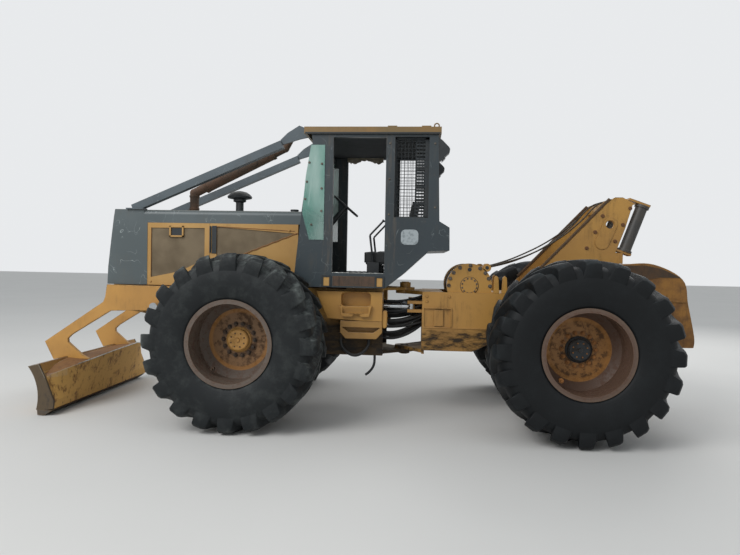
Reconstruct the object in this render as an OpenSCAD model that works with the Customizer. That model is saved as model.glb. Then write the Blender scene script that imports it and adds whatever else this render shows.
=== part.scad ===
// Articulated log skidder with a cable winch, front towards -X, left side towards -Y.
// The origin is on the ground under the middle of the whole machine.

/* [Stance] */
// Distance from front axle to rear axle
wheelbase = 3400; // [3200:10:3600]
// Distance between the middles of the left and right tyres
track_w = 2324; // [2280:2:2400]
// Distance from the front axle back to the articulation pin
pin_from_front = 1670; // [1600:5:1740]
// Place of the articulation pin ahead of or behind the origin
hinge_x = 550; // [450:5:650]

/* [Wheels] */
// Outer radius of a tyre at the tips of its lugs
tyre_r = 885; // [865:5:905]
// Width of a tyre
tyre_w = 775; // [740:5:800]
// Height of the lugs over the casing
lug_h = 58; // [40:2:70]
// Number of lugs on each side of a tyre
lug_count = 20; // [16:1:22]
// Radius of the bead seat of a rim
bead_r = 404; // [396:1:408]
// Radius of the rim flange
flange_r = 432; // [425:1:440]
// Distance between the rim flanges
rim_w = 690; // [660:5:700]
// Wall of the rim
rim_t = 14; // [10:1:20]
// Radius of the wheel nut circle
nut_circle_r = 152; // [145:1:160]
// Number of wheel nuts
nut_count = 14; // [10:1:16]
// Radius of a hub cap
hub_cap_r = 112; // [100:1:120]

/* [Axles] */
// Radius of an axle tube
axle_tube_r = 118; // [100:2:130]
// Radius of the gear housing in the middle of an axle
gear_housing_r = 245; // [220:5:260]

/* [Front frame] */
// Length of the nose ahead of the front axle
nose_l = 1690; // [1650:5:1740]
// Half of the width over the frame rails
rail_out_y = 470; // [455:5:485]
// Thickness of the frame plates
plate_t = 30; // [20:1:36]
// Height of the rails above the ground at their lower edge
rail_z0 = 1105; // [1085:5:1120]
// Height of the rails above the ground at their top
rail_z1 = 1400; // [1380:5:1410]
// Height of the belly plate above the ground
belly_z = 662; // [640:2:680]
// Distance from the end of the front frame to the articulation pin
front_gap = 235; // [225:5:260]

/* [Engine bay] */
// Length of the hood
hood_l = 2170; // [2120:5:2200]
// Half of the width of the hood
hood_out_y = 500; // [480:5:505]
// Height of the hood top above the ground
hood_z = 2262; // [2230:2:2290]
// Depth of the grey strip along the top of the hood
hood_strip_h = 150; // [120:5:170]
// Thickness of sheet panels
sheet_t = 8; // [5:1:12]
// Length of the radiator guard along the machine
guard_l = 430; // [400:5:460]

/* [Cab] */
// Half of the width over the cab
cab_out_y = 700; // [690:5:720]
// Thickness of the cab walls
cab_wall = 50; // [40:2:60]
// Height of the underside of the roof
roof_z0 = 3082; // [3060:2:3100]
// Thickness of the roof
roof_t = 72; // [60:2:90]
// Height of the cab floor
floor_z = 1470; // [1450:5:1500]
// Front edge of the door opening
door_x0 = -240; // [-260:5:-220]
// Length of the door opening
door_l = 570; // [540:5:580]
// Height of the door sill
door_z0 = 1582; // [1560:2:1600]
// Height of the top of the door opening
door_z1 = 3046; // [3020:2:3050]

/* [Blade] */
// Width of the blade
blade_w = 2160; // [2100:10:2240]
// Height of the blade over the ground
blade_h = 552; // [520:2:580]
// Thickness of the arms
arm_t = 40; // [30:2:44]
// Distance from the middle to the outside of an arm
arm_out_y = 560; // [555:1:570]
// Height of the pivot of the blade arms
arm_pivot_z = 1250; // [1235:5:1265]

/* [Rear frame] */
// Half of the width over the rear frame
rear_out_y = 470; // [455:5:485]
// Distance from the pin to the front of the rear frame
rear_gap = 200; // [190:5:220]
// Height of the rear frame at its top
rear_z1 = 1388; // [1380:2:1392]

/* [Winch and arch] */
// Radius of the winch drum barrel
drum_r = 128; // [115:1:140]
// Radius of the drum flanges
drum_flange_r = 232; // [220:2:240]
// Width of the drum over its flanges
drum_w = 560; // [520:5:580]
// Radius of the winch gear case
case_r = 248; // [240:2:255]
// Half of the width over the arch
arch_out_y = 460; // [450:5:480]
// Radius of the fairlead rollers
roller_r = 62; // [55:1:66]

/* [Hidden] */
$fn = 48;
// Gap left between pieces that seat on each other
seat_gap = 0.3;
// Running clearance of a pin in its bore
pin_play = 0.08;

// Main places along the machine
front_x = hinge_x - pin_from_front;
rear_x = front_x + wheelbase;
nose_x = front_x - nose_l;
frame_end_x = hinge_x - front_gap;
rear_start_x = hinge_x + rear_gap;
rail_in_y = rail_out_y - plate_t;
rear_in_y = rear_out_y - plate_t;

// Wheel sizes, measured along the axle from the middle of the tyre, outwards positive
tyre_y = track_w / 2;
axle_z = tyre_r;
disc_w = -60;
disc_t = 22;
hub_back_w = -210;
flange_t = 12;
nut_r = 13;
nut_h = 18;

// Engine bay
guard_x0 = front_x - 1755;
guard_x1 = guard_x0 + guard_l;
hood_x1 = guard_x0 + 85 + hood_l;
strip_z0 = hood_z - hood_strip_h;
panel_split_x = front_x - 550;
panel_z0 = rail_z1 + seat_gap;
engine_z0 = axle_z + gear_housing_r + 35;

// Cab
roof_z1 = roof_z0 + roof_t;
door_x1 = door_x0 + door_l;
cab_in_y = cab_out_y - cab_wall;

// Blade
arm_in_y = arm_out_y - arm_t;
arm_pivot_x = front_x - 380;
arm_pin_r = 50;
blade_x = front_x - 2197;

// Steering cylinders: pin of the barrel, eye of the rod, and how far the barrel reaches from its pin
steer_y = 350;
steer_z = 1215;
steer_eye_x = hinge_x + 80;
steer_base_x = steer_eye_x - 1030;
steer_barrel_l = 680;
steer_bore_start = 112;
steer_rod_in = 360;
steer_rod_r = 28;
steer_pin_r = 30;

// Blade cylinders: pin of the barrel, and eye of the rod on the arm
cyl_y = 641;
cyl_half_w = 30;
blade_base_x = arm_pivot_x - 150;
blade_base_z = 980;
blade_eye_x = arm_pivot_x - 750;
blade_eye_z = arm_pivot_z - 90;
blade_cyl_l = norm([blade_eye_x - blade_base_x, blade_eye_z - blade_base_z]);
blade_cyl_tilt = atan2(blade_eye_z - blade_base_z, blade_base_x - blade_eye_x);
blade_rod_r = 26;

// Winch and arch
drum_x = hinge_x + 716;
drum_z = 1464;
case_in_y = drum_w / 2 + 12;
low_roller_x = drum_x + 1560;
low_roller_z = 1800;

// Routes of the hoses, as X, Y and Z
LOOP_ROUTE = [
    [-145, -520, 850], [-145, -520, 805], [-125, -524, 755], [-90, -529, 712], [-42, -532, 680], [10, -530, 667],
    [62, -529, 678], [108, -527, 708], [144, -523, 752], [165, -520, 805], [165, -520, 850]
];
END_ROUTE = [
    [230, -455, 662], [230, -455, 615], [226, -456, 568], [212, -457, 527], [188, -458, 492], [160, -458, 462], [130, -457, 440]
];

BOTH = [-1, 1];

// Block given by its lowest and highest corner
module block(x0, x1, y0, y1, z0, z1) {
    translate([x0, y0, z0]) cube([x1 - x0, y1 - y0, z1 - z0]);
}

// Plate that stands along the machine, its outline given in X and Z
module side_plate(y0, y1, outline) {
    translate([0, y1, 0]) rotate([90, 0, 0]) linear_extrude(y1 - y0) polygon(outline);
}

// Flat lying plate, its outline given in X and Y
module deck_plate(z0, z1, outline) {
    translate([0, 0, z0]) linear_extrude(z1 - z0) polygon(outline);
}

// Round bar across the machine
module cross_bar(x, z, y0, y1, r) {
    translate([x, y1, z]) rotate([90, 0, 0]) cylinder(h = y1 - y0, r = r);
}

// Upright round bar
module post(x, y, z0, z1, r) {
    translate([x, y, z0]) cylinder(h = z1 - z0, r = r);
}

module both_sides() {
    children();
    mirror([0, 1, 0]) children();
}

// Square tube between two points that share a Y
module beam(x0, z0, x1, z1, y, w, h) {
    run = norm([x1 - x0, z1 - z0]);
    translate([x0, y - w / 2, z0]) rotate([0, -atan2(z1 - z0, x1 - x0), 0]) translate([0, 0, -h / 2]) cube([run, w, h]);
}

// Turns a wheel part from its own axis to the axle, its outer face outwards
module on_axle(x, side) {
    translate([x, side * tyre_y, axle_z]) rotate([-90 * side, 0, 0]) children();
}

// Casing of a tyre, as radius and width
function tyre_half() = [
    [bead_r, rim_w / 2 - flange_t - 3],
    [flange_r + 8, rim_w / 2 - flange_t - 2],
    [flange_r + 60, tyre_w / 2 - 22],
    [tyre_r * 0.72, tyre_w / 2],
    [tyre_r - lug_h - 55, tyre_w / 2 - 12],
    [tyre_r - 25, tyre_w / 2 - 40],
    [tyre_r, tyre_w / 2 - 150]
];

module tyre(x, side) {
    color("#23262a") on_axle(x, side) rotate_extrude($fn = 96) polygon(concat(
        [for (p = tyre_half()) p],
        [for (i = [len(tyre_half()) - 1:-1:0]) [tyre_half()[i][0], -tyre_half()[i][1]]]
    ));
}

module rim(x, side) {
    seat_r = bead_r - seat_gap;
    in_r = seat_r - rim_t;
    half = rim_w / 2;
    color("#7a5c3c") on_axle(x, side) {
        rotate_extrude($fn = 96) {
            polygon([
                [in_r, -half], [flange_r, -half], [flange_r, flange_t - half], [seat_r, flange_t - half],
                [seat_r, half - flange_t], [flange_r, half - flange_t], [flange_r, half], [in_r, half]
            ]);
            // Dished disc
            polygon([
                [in_r + 2, disc_w + 105], [in_r + 2, disc_w + 80], [310, disc_w], [60, disc_w],
                [60, disc_w + disc_t], [316, disc_w + disc_t]
            ]);
            // Hub with its stepped cap
            polygon([
                [0, hub_back_w], [165, hub_back_w], [178, disc_w - 40], [178, disc_w + 1], [130, disc_w + disc_t - 1],
                [130, disc_w + disc_t + 14], [hub_cap_r, disc_w + disc_t + 22], [hub_cap_r, disc_w + disc_t + 52],
                [hub_cap_r - 14, disc_w + disc_t + 62], [24, disc_w + disc_t + 62], [20, disc_w + disc_t + 76],
                [0, disc_w + disc_t + 76]
            ]);
        }
        for (i = [0:nut_count - 1])
            rotate(i * 360 / nut_count)
                translate([nut_circle_r + 12, 0, disc_w + disc_t - 1])
                    cylinder(h = nut_h, r = nut_r, $fn = 6);
    }
}

module axle(x, drop) {
    end_y = tyre_y + hub_back_w - seat_gap;
    color("#5b4a30") {
        translate([x, 0, axle_z]) rotate([90, 0, 0]) rotate_extrude() polygon([
            [0, -end_y], [160, -end_y], [160, 55 - end_y], [axle_tube_r, 95 - end_y], [axle_tube_r + 14, -300],
            [gear_housing_r - 60, -215], [gear_housing_r, -110], [gear_housing_r, 110],
            [gear_housing_r - 60, 215], [axle_tube_r + 14, 300], [axle_tube_r, end_y - 95],
            [160, end_y - 55], [160, end_y], [0, end_y]
        ]);
        // Pads that bolt to the frame above
        both_sides() block(x - 150, x + 150, 330, rail_out_y - 4, axle_z + 40, rail_z0 - drop - seat_gap);
        // Pinion nose
        translate([x, 0, axle_z]) rotate([0, 90, 0]) cylinder(h = gear_housing_r + 90, r = 85);
    }
}

// Tapering lug of the articulation, seen from above
module hinge_lug(z0, z1, x_root, half_root) {
    eye_r = 112;
    translate([0, 0, z0]) linear_extrude(z1 - z0) difference() {
        union() {
            translate([hinge_x, 0]) circle(r = eye_r);
            polygon([[x_root, -half_root], [hinge_x, -eye_r], [hinge_x, eye_r], [x_root, half_root]]);
        }
        translate([hinge_x, 0]) circle(r = 45 + pin_play);
    }
}

module front_frame() {
    lug_t = 30;
    color("#b98a2e") {
        // Rails with the belly sides, and the sloping nose
        both_sides() {
            block(nose_x, frame_end_x, rail_in_y, rail_out_y, rail_z0, rail_z1);
            side_plate(rail_in_y, rail_out_y, [
                [front_x + 330, belly_z + 60], [front_x + 420, belly_z], [frame_end_x, belly_z],
                [frame_end_x, rail_z0 + 5], [front_x + 330, rail_z0 + 5]
            ]);
            side_plate(rail_in_y, rail_out_y, [
                [nose_x + 145, rail_z0 + 5], [front_x - 330, 900], [front_x - 330, rail_z0 + 5]
            ]);
        }
        block(nose_x, nose_x + plate_t, -rail_in_y - 1, rail_in_y + 1, rail_z0, rail_z1);
        block(front_x - 340, front_x - 310, -rail_in_y - 1, rail_in_y + 1, rail_z0, engine_z0 - seat_gap);
        // Belly plate and top plate at the articulation
        block(front_x + 415, frame_end_x, -rail_in_y - 1, rail_in_y + 1, belly_z, belly_z + lug_t);
        block(frame_end_x - 420, frame_end_x, -rail_in_y - 1, rail_in_y + 1, rear_z1 + seat_gap, rear_z1 + seat_gap + lug_t);
        block(frame_end_x - 320, frame_end_x - 290, -260, 260, belly_z + 20, rear_z1 + 20);
        hinge_lug(belly_z, belly_z + lug_t, frame_end_x - 10, 330);
        hinge_lug(rear_z1 + seat_gap, rear_z1 + seat_gap + lug_t, frame_end_x - 10, 330);
        // Articulation pins with their bosses
        post(hinge_x, 0, rear_z1 - 45, rear_z1 + 95, 45);
        post(hinge_x, 0, rear_z1 + seat_gap + lug_t - 1, rear_z1 + 88, 64);
        post(hinge_x, 0, belly_z - 34, belly_z + 75, 45);
        post(hinge_x, 0, belly_z - 28, belly_z + 1, 64);
        // Pins of the blade arms
        both_sides() {
            cross_bar(arm_pivot_x, arm_pivot_z, rail_out_y - 5, arm_out_y + 14, arm_pin_r);
            cross_bar(arm_pivot_x, arm_pivot_z, rail_out_y - 5, arm_in_y - seat_gap, 95);
        }
        // Brackets and pins of the blade cylinders, under the arms
        both_sides() {
            block(blade_base_x - 60, blade_base_x + 60, rail_out_y - 5, cyl_y - cyl_half_w - 10, 930, 960);
            block(blade_base_x - 60, blade_base_x + 60, rail_out_y - 5, 500, 930, rail_z0 + 5);
            side_plate(cyl_y - cyl_half_w - seat_gap - 22, cyl_y - cyl_half_w - seat_gap, [
                [blade_base_x - 60, 930], [blade_base_x + 60, 930], [blade_base_x + 38, blade_base_z + 34],
                [blade_base_x - 38, blade_base_z + 34]
            ]);
            cross_bar(blade_base_x, blade_base_z, cyl_y - cyl_half_w - 10, cyl_y + cyl_half_w + 6, 25);
        }
        // Brackets and pins of the steering cylinders
        both_sides() {
            block(steer_base_x - 60, steer_base_x + 48, steer_y - 55, rail_in_y + 1, steer_z - 55, steer_z - 31 - seat_gap);
            post(steer_base_x, steer_y, steer_z - 40, steer_z + 45, steer_pin_r);
        }
        // Ports that the loop of hose hangs from
        for (x = [LOOP_ROUTE[0][0], LOOP_ROUTE[len(LOOP_ROUTE) - 1][0]]) {
            block(x - 30, x + 30, -538, -rail_out_y + 5, 900, 912);
            post(x, LOOP_ROUTE[0][1], 850, 901, 18);
        }
        // Blocks that carry the cab
        both_sides() for (x = [-360, frame_end_x - 40])
            block(x - 40, x + 40, rail_out_y - 60, rail_out_y - 2, rail_z1 - 1, floor_z - 45 - seat_gap);
    }
}

module engine_block() {
    color("#4a4a46") block(front_x - 1000, front_x + 60, -300, 300, engine_z0, 1980);
}

module radiator() {
    half = hood_out_y - sheet_t * 3 - seat_gap;
    color("#2c2f31") block(guard_x0 + 130, guard_x0 + 230, -half, half, panel_z0 + 10, strip_z0 + 60);
}

// Side outline of the radiator guard, its front leaning back a little
function guard_outline() = [
    [guard_x0, panel_z0], [guard_x0 + 8, 1601], [guard_x0 + 40, 1907], [guard_x0 + 72, 2183],
    [guard_x0 + 85, hood_z], [guard_x1, hood_z], [guard_x1, panel_z0]
];

module radiator_guard() {
    color("#3c444c") difference() {
        side_plate(-hood_out_y, hood_out_y, guard_outline());
        block(guard_x0 - 50, guard_x1 + 50, sheet_t * 3 - hood_out_y, hood_out_y - sheet_t * 3, panel_z0 - 5, hood_z - 24);
    }
}

module grille() {
    bars = 9;
    half = hood_out_y - sheet_t * 3 - 1;
    // Frame with upright bars, leaning like the front of the guard
    lean = atan2(72, 2183 - panel_z0);
    tall = (hood_z - 60 - panel_z0) / cos(lean);
    color("#33393f") translate([guard_x0 + 22, 0, panel_z0 + 6]) rotate([0, lean, 0]) {
        difference() {
            block(0, 24, -half, half, 0, tall);
            block(-5, 30, 40 - half, half - 40, 40, tall - 40);
        }
        for (i = [1:bars])
            block(4, 20, (i / (bars + 1) * 2 - 1) * (half - 40) - 6, (i / (bars + 1) * 2 - 1) * (half - 40) + 6, 35, tall - 35);
        for (k = [1:3])
            block(6, 22, 35 - half, half - 35, k * tall / 4 - 8, k * tall / 4 + 8);
    }
}

// Rounded hood section across the machine, from the strip's lower edge to the top
module hood_section(half, z0, z1, r) {
    union() {
        translate([-half, z0]) square([half * 2, z1 - r - z0]);
        translate([r - half, z0]) square([(half - r) * 2, z1 - z0]);
        for (s = BOTH) translate([s * (half - r), z1 - r]) circle(r = r);
    }
}

module hood() {
    round_r = 55;
    color("#3c444c") translate([guard_x1 + seat_gap, 0, 0]) rotate([90, 0, 90])
        linear_extrude(hood_x1 - guard_x1 - seat_gap) difference() {
            hood_section(hood_out_y, strip_z0, hood_z, round_r);
            hood_section(hood_out_y - 24, strip_z0 - 60, hood_z - 12, round_r - 18);
        }
}

// Meshed field of the front side panel, then of the rear one
function front_field() = [
    [guard_x1 + 62, 1483], [front_x - 900, 1560], [panel_split_x - 60, 1700], [panel_split_x - 60, 2058], [guard_x1 + 62, 2054]
];
function rear_field() = [
    [panel_split_x + 80, 1640], [front_x - 124, 1781], [hood_x1 - 75, 2000], [hood_x1 - 75, 2010], [panel_split_x + 80, 2074]
];

module engine_panels() {
    seam = 3;
    depth = 40;
    color("#c8922c") both_sides() difference() {
        union() {
            block(guard_x1 + seat_gap, panel_split_x - seam, -hood_out_y, depth - hood_out_y, panel_z0, strip_z0 - seat_gap);
            block(panel_split_x, hood_x1 - 34, -hood_out_y, depth - hood_out_y, panel_z0, strip_z0 - seat_gap);
        }
        // Pan behind each sheet, and the meshed fields
        block(guard_x1 + 40, panel_split_x - 40, sheet_t - hood_out_y, depth + 1 - hood_out_y, panel_z0 + 40, strip_z0 - 30);
        block(panel_split_x + 40, hood_x1 - 60, sheet_t - hood_out_y, depth + 1 - hood_out_y, panel_z0 + 40, strip_z0 - 30);
        side_plate(-hood_out_y - 5, sheet_t + 5 - hood_out_y, front_field());
        side_plate(-hood_out_y - 5, sheet_t + 5 - hood_out_y, rear_field());
    }
}

// Sheet with a bar pattern stands for woven mesh
module mesh_guards() {
    color("#6d5638") both_sides() {
        // Behind the fields of the engine panels
        side_plate(sheet_t + seat_gap - hood_out_y, sheet_t + 4 - hood_out_y, [
            [guard_x1 + 41, 1445], [panel_split_x - 41, 1445], [panel_split_x - 41, 2075], [guard_x1 + 41, 2075]
        ]);
        side_plate(sheet_t + seat_gap - hood_out_y, sheet_t + 4 - hood_out_y, [
            [panel_split_x + 41, 1600], [hood_x1 - 61, 1720], [hood_x1 - 61, 2075], [panel_split_x + 41, 2080]
        ]);
    }
    // Rear side windows of the cab and the window behind the operator
    color("#2b3036") {
        both_sides() mesh_panel(rear_win_x0() - 18, rear_win_x1() + 18, rear_win_z0() - 18, rear_win_z1() + 10, -cab_in_y + seat_gap);
        translate([cab_rear_x() - cab_wall - seat_gap, 0, 0]) rotate([0, 0, 90])
            mesh_panel(-cab_in_y + 70, cab_in_y - 70, 2200, roof_z0 - 40, 0);
    }
}

// Frame of flat bar with crossing rods, standing along X at one Y
module mesh_panel(x0, x1, z0, z1, y) {
    bar = 16;
    rods = 7;
    difference() {
        block(x0, x1, y, y + 6, z0, z1);
        block(x0 + bar, x1 - bar, y - 1, y + 7, z0 + bar, z1 - bar);
    }
    for (i = [1:rods - 1]) {
        block(x0 + i * (x1 - x0) / rods - 3, x0 + i * (x1 - x0) / rods + 3, y, y + 6, z0 + bar - 1, z1 - bar + 1);
        block(x0 + bar - 1, x1 - bar + 1, y + 0.5, y + 5.5, z0 + i * (z1 - z0) / rods - 3, z0 + i * (z1 - z0) / rods + 3);
    }
}

module pre_cleaner() {
    color("#24282c") translate([front_x - 330, -100, hood_z + seat_gap]) rotate_extrude() polygon([
        [0, 0], [62, 0], [62, 12], [46, 16], [46, 128], [75, 140], [75, 165], [140, 178], [146, 196], [140, 206],
        [120, 228], [80, 252], [30, 264], [0, 266]
    ]);
}

module exhaust() {
    pipe_r = 52;
    muffler_r = 66;
    y = -250;
    rise_x = front_x - 830;
    rise = 26.5;
    run = 1000;
    color("#5d4c42") {
        post(rise_x, y, hood_z + seat_gap, 2480, pipe_r);
        translate([rise_x, y, 2480]) sphere(r = pipe_r + 2, $fn = 32);
        translate([rise_x, y, 2480]) rotate([0, 90 - rise, 0]) cylinder(h = 160, r = pipe_r);
        translate([rise_x, y, 2480]) rotate([0, 90 - rise, 0]) translate([0, 0, 150]) cylinder(h = run - 90, r = muffler_r);
        translate([rise_x, y, 2480]) rotate([0, 90 - rise, 0]) translate([0, 0, run + 50]) cylinder(h = 150, r = pipe_r);
        translate([rise_x + (run + 200) * cos(rise), y, 2480 + (run + 200) * sin(rise)]) sphere(r = pipe_r + 2, $fn = 32);
        translate([rise_x + (run + 200) * cos(rise), y, 2480 + (run + 200) * sin(rise)])
            rotate([0, 28, 0]) cylinder(h = 130, r = pipe_r);
    }
}

module limb_risers() {
    tube = 86;
    foot_x = front_x - 1460;
    top_x = front_x + 265;
    y = hood_out_y - tube / 2 + 10;
    color("#3a4149") both_sides() {
        intersection() {
            beam(foot_x, hood_z + 10, top_x, 3010, -y, tube, tube);
            block(foot_x - 100, top_x + 100, -y - tube, tube - y, hood_z + seat_gap, roof_z1);
        }
        // Foot plate on the guard, and head plate that reaches the roof
        block(foot_x - 70, foot_x + 130, -y - 60, 60 - y, hood_z + seat_gap, hood_z + 14);
        side_plate(-y - 12, 12 - y, [
            [top_x - 20, 3000], [top_x - 20, 3062], [top_x + 60, 3140], [top_x + 190, 3222], [top_x + 262, 3194],
            [roof_x0() - seat_gap, roof_z1 - 6], [roof_x0() - seat_gap, roof_z0 + 8], [top_x + 200, roof_z0 - 12]
        ]);
    }
}

// Front edge of the roof
function roof_x0() = front_x + 560;

// Places of the cab's own openings
function cab_front_x() = front_x + 555;
function cab_rear_x() = hinge_x + 335;
function rear_win_x0() = door_x1 + 95;
function rear_win_x1() = cab_rear_x() - 95;
function rear_win_z0() = 2192;
function rear_win_z1() = roof_z0 - 30;

// Inner face of the cab's front wall at a height
function cab_inner_x(z) = z < 2625 ? front_x + 587 + 53 * (z - 2220) / 405 : front_x + 640 + 64 * (z - 2625) / 345;

// Back face of the cab at a height
function cab_back_x(z) = cab_rear_x() + 27 * (roof_z0 - z) / (roof_z0 - 2155);

// Outline of the cab seen from the side
function cab_outline() = [
    [front_x + 470, 1556], [front_x + 537, 2220], [front_x + 590, 2625], [front_x + 654, 2970], [front_x + 640, roof_z0],
    [cab_rear_x(), roof_z0], [cab_rear_x() + 27, 2155], [cab_rear_x() + 136, 2089], [cab_rear_x() + 141, 1845],
    [hinge_x + 254, 1834], [hinge_x - 21, 1576], [hinge_x - 210, floor_z - 45], [front_x + 620, floor_z - 45]
];

module cab_shell() {
    post_w = 96;
    color("#363d45") difference() {
        side_plate(-cab_out_y, cab_out_y, cab_outline());
        // Room inside
        side_plate(-cab_in_y, cab_in_y, [
            [front_x + 522, 1600], [front_x + 587, 2220], [front_x + 640, 2625], [front_x + 704, 2970],
            [front_x + 700, roof_z0 + 5], [cab_rear_x() - cab_wall, roof_z0 + 5], [cab_rear_x() - cab_wall, 2110],
            [cab_rear_x() + 86, 2060], [cab_rear_x() + 91, 1895], [hinge_x + 235, 1884], [hinge_x - 40, 1636],
            [hinge_x - 225, floor_z - 50], [front_x + 640, floor_z - 50]
        ]);
        // Door openings on both sides
        block(door_x0, door_x1, -cab_out_y - 5, cab_out_y + 5, door_z0, door_z1);
        // Rear side windows
        block(rear_win_x0(), rear_win_x1(), -cab_out_y - 5, cab_out_y + 5, rear_win_z0(), rear_win_z1());
        // Front quarter windows
        side_plate(-cab_out_y - 5, cab_out_y + 5, quarter_outline(18));
        // Window behind the operator
        block(cab_rear_x() - cab_wall - 30, cab_rear_x() + 60, -cab_in_y + 90, cab_in_y - 90, 2220, roof_z0 - 60);
        // Windscreen
        block(front_x + 480, front_x + 760, -cab_in_y + 70, cab_in_y - 70, hood_z + 60, roof_z0 - 60);
    }
    // Hinge ears of the far door, above and below its hinge rod
    color("#363d45") for (z = [door_z0 + 36, door_z1 - 60 + seat_gap])
        block(door_x1 - 4, door_x1 + 16, cab_out_y - 1, far_door_y() - 6, z, z + 24 - seat_gap);
}

// Inner face of the far door's leaf as it would lie when swung right back, and the axis of its hinge
function far_door_y() = cab_out_y + 42;
function far_hinge_x() = door_x1 + 6;
function far_hinge_y() = far_door_y() - 16;

function quarter_outline(in) = [
    [front_x + 560 + in, 2238 + in], [front_x + 594 + in, 2625], [front_x + 648 + in, 2950 - in],
    [door_x0 - 104 - in, 2950 - in], [door_x0 - 104 - in, 1950 + in], [front_x + 640 + in, 1950 + in]
];

module cab_roof() {
    edge = 26;
    color("#c8922c") difference() {
        block(roof_x0(), cab_rear_x() + 30, -cab_out_y - 25, cab_out_y + 25, roof_z0 + seat_gap, roof_z1);
        block(roof_x0() + edge, cab_rear_x() + 30 - edge, edge - cab_out_y - 25, cab_out_y + 25 - edge, roof_z0 - 5, roof_z1 - 20);
    }
}

module cab_glass() {
    color("#5f9c8c") both_sides()
        side_plate(-cab_out_y - 8, -cab_out_y - seat_gap, quarter_outline(-12));
    color("#7c9a98")
        side_plate(45 - cab_in_y, cab_in_y - 45, concat(
            [for (z = [hood_z + 20, 2625, 2960]) [cab_inner_x(z) + seat_gap, z]],
            [for (z = [2960, 2625, hood_z + 20]) [cab_inner_x(z) + 10, z]]
        ));
}

module cab_floor() {
    color("#3b362f") deck_plate(floor_z - 45, floor_z - 5, [
        [front_x + 660, 1 - cab_in_y], [hinge_x - 240, 1 - cab_in_y], [hinge_x - 240, cab_in_y - 1], [front_x + 660, cab_in_y - 1]
    ]);
}

module seat() {
    color("#22262a") {
        // Pedestal, cushion and back
        block(120, 300, -200, 200, floor_z - 5 + seat_gap, 1701);
        block(60, 520, -250, 250, 1700, 1830);
        translate([470, -235, 1800]) rotate([0, 12, 0]) cube([110, 470, 660]);
    }
}

module steering_column() {
    wheel_x = -180;
    wheel_z = 2370;
    tilt = 40;
    color("#1c1e20") {
        translate([wheel_x, 0, wheel_z]) rotate([0, tilt, 0]) {
            rotate_extrude() translate([175, 0]) circle(r = 14);
            cylinder(h = 30, r = 40, center = true);
            for (a = [0, 120, 240]) rotate(a) translate([20, -9, -5]) cube([150, 18, 10]);
            translate([0, 0, -520]) cylinder(h = 510, r = 32);
        }
        block(front_x + 640, -430, -300, 300, floor_z - 5 + seat_gap, 2010);
    }
}

module side_boxes() {
    box_out_y = 620;
    color("#c8922c") both_sides() difference() {
        block(front_x + 760, frame_end_x, -box_out_y, -rail_out_y - seat_gap, 1058, 1380);
        // Recessed step with a round back
        block(front_x + 990, front_x + 1270, -box_out_y - 5, -box_out_y + 110, 1225, 1376);
        block(front_x + 1000, front_x + 1260, -box_out_y - 5, -box_out_y + 60, 1095, 1150);
    }
    // Hanging steps
    color("#8a6a2c") both_sides() difference() {
        block(front_x + 974, frame_end_x, -box_out_y, 80 - box_out_y, 861, 1058);
        block(front_x + 1020, frame_end_x - 46, -box_out_y - 5, 85 - box_out_y, 905, 1000);
    }
}

module rear_lamps() {
    color("#23282d") both_sides() side_plate(-cab_out_y + 5, 120 - cab_out_y, [
        [cab_back_x(3050) + seat_gap, 3050], [cab_rear_x() + 125, 2925], [cab_rear_x() + 120, 2890],
        [cab_back_x(2790) + seat_gap, 2790]
    ]);
}

module driveline() {
    // Gearbox between the rails, and the shaft that runs back to the articulation
    color("#4c4a40") {
        block(front_x + 480, front_x + 1080, -230, 230, belly_z + 30 + seat_gap, 1200);
        translate([front_x + 1070, 0, 900]) rotate([0, 90, 0]) cylinder(h = frame_end_x - 320 - seat_gap - front_x - 1070, r = 60);
    }
}

// Tube swept along a route, one ring of sides at each point
function unit(v) = v / norm(v);
function route_dir(pts, i) =
    i == 0 ? unit(pts[1] - pts[0]) :
    i == len(pts) - 1 ? unit(pts[i] - pts[i - 1]) : unit(pts[i + 1] - pts[i - 1]);
function ring(pts, i, r, sides) =
    let (d = route_dir(pts, i), u = unit(cross(d, [0, 1, 0])), w = cross(d, u))
    [for (k = [0:sides - 1]) pts[i] + r * (cos(k * 360 / sides) * u + sin(k * 360 / sides) * w)];
module swept_tube(pts, r, sides) {
    n = len(pts);
    polyhedron(
        points = [for (i = [0:n - 1]) each ring(pts, i, r, sides)],
        faces = concat(
            [[for (k = [sides - 1:-1:0]) k]],
            [for (i = [0:n - 2]) for (k = [0:sides - 1])
                [i * sides + k, i * sides + (k + 1) % sides, (i + 1) * sides + (k + 1) % sides, (i + 1) * sides + k]],
            [[for (k = [0:sides - 1]) (n - 1) * sides + k]]
        )
    );
}

module hose_loop() {
    color("#1d1f21") swept_tube(LOOP_ROUTE, 17, 10);
}

module hose_end() {
    color("#1d1f21") swept_tube(END_ROUTE, 14, 10);
}

// The far door stands open at a right angle, and is drawn as it lies when swung right back
module far_door() {
    leaf_y = far_door_y();
    color("#363d45") translate([far_hinge_x(), far_hinge_y(), 0]) rotate(90) translate([-far_hinge_x(), -far_hinge_y(), 0]) {
        difference() {
            block(door_x1 + 20, door_x1 + door_l, leaf_y, leaf_y + 36, door_z0 + 20, door_z1 - 20);
            block(door_x1 + 90, door_x1 + door_l - 70, leaf_y - 5, leaf_y + 41, 2200, door_z1 - 90);
        }
        post(far_hinge_x(), far_hinge_y(), door_z0 + 60, door_z1 - 60, 14);
        for (z = [door_z0 + 300, door_z1 - 300])
            block(door_x1 + 6, door_x1 + 40, leaf_y - 24, leaf_y + 8, z, z + 60);
    }
}

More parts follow.
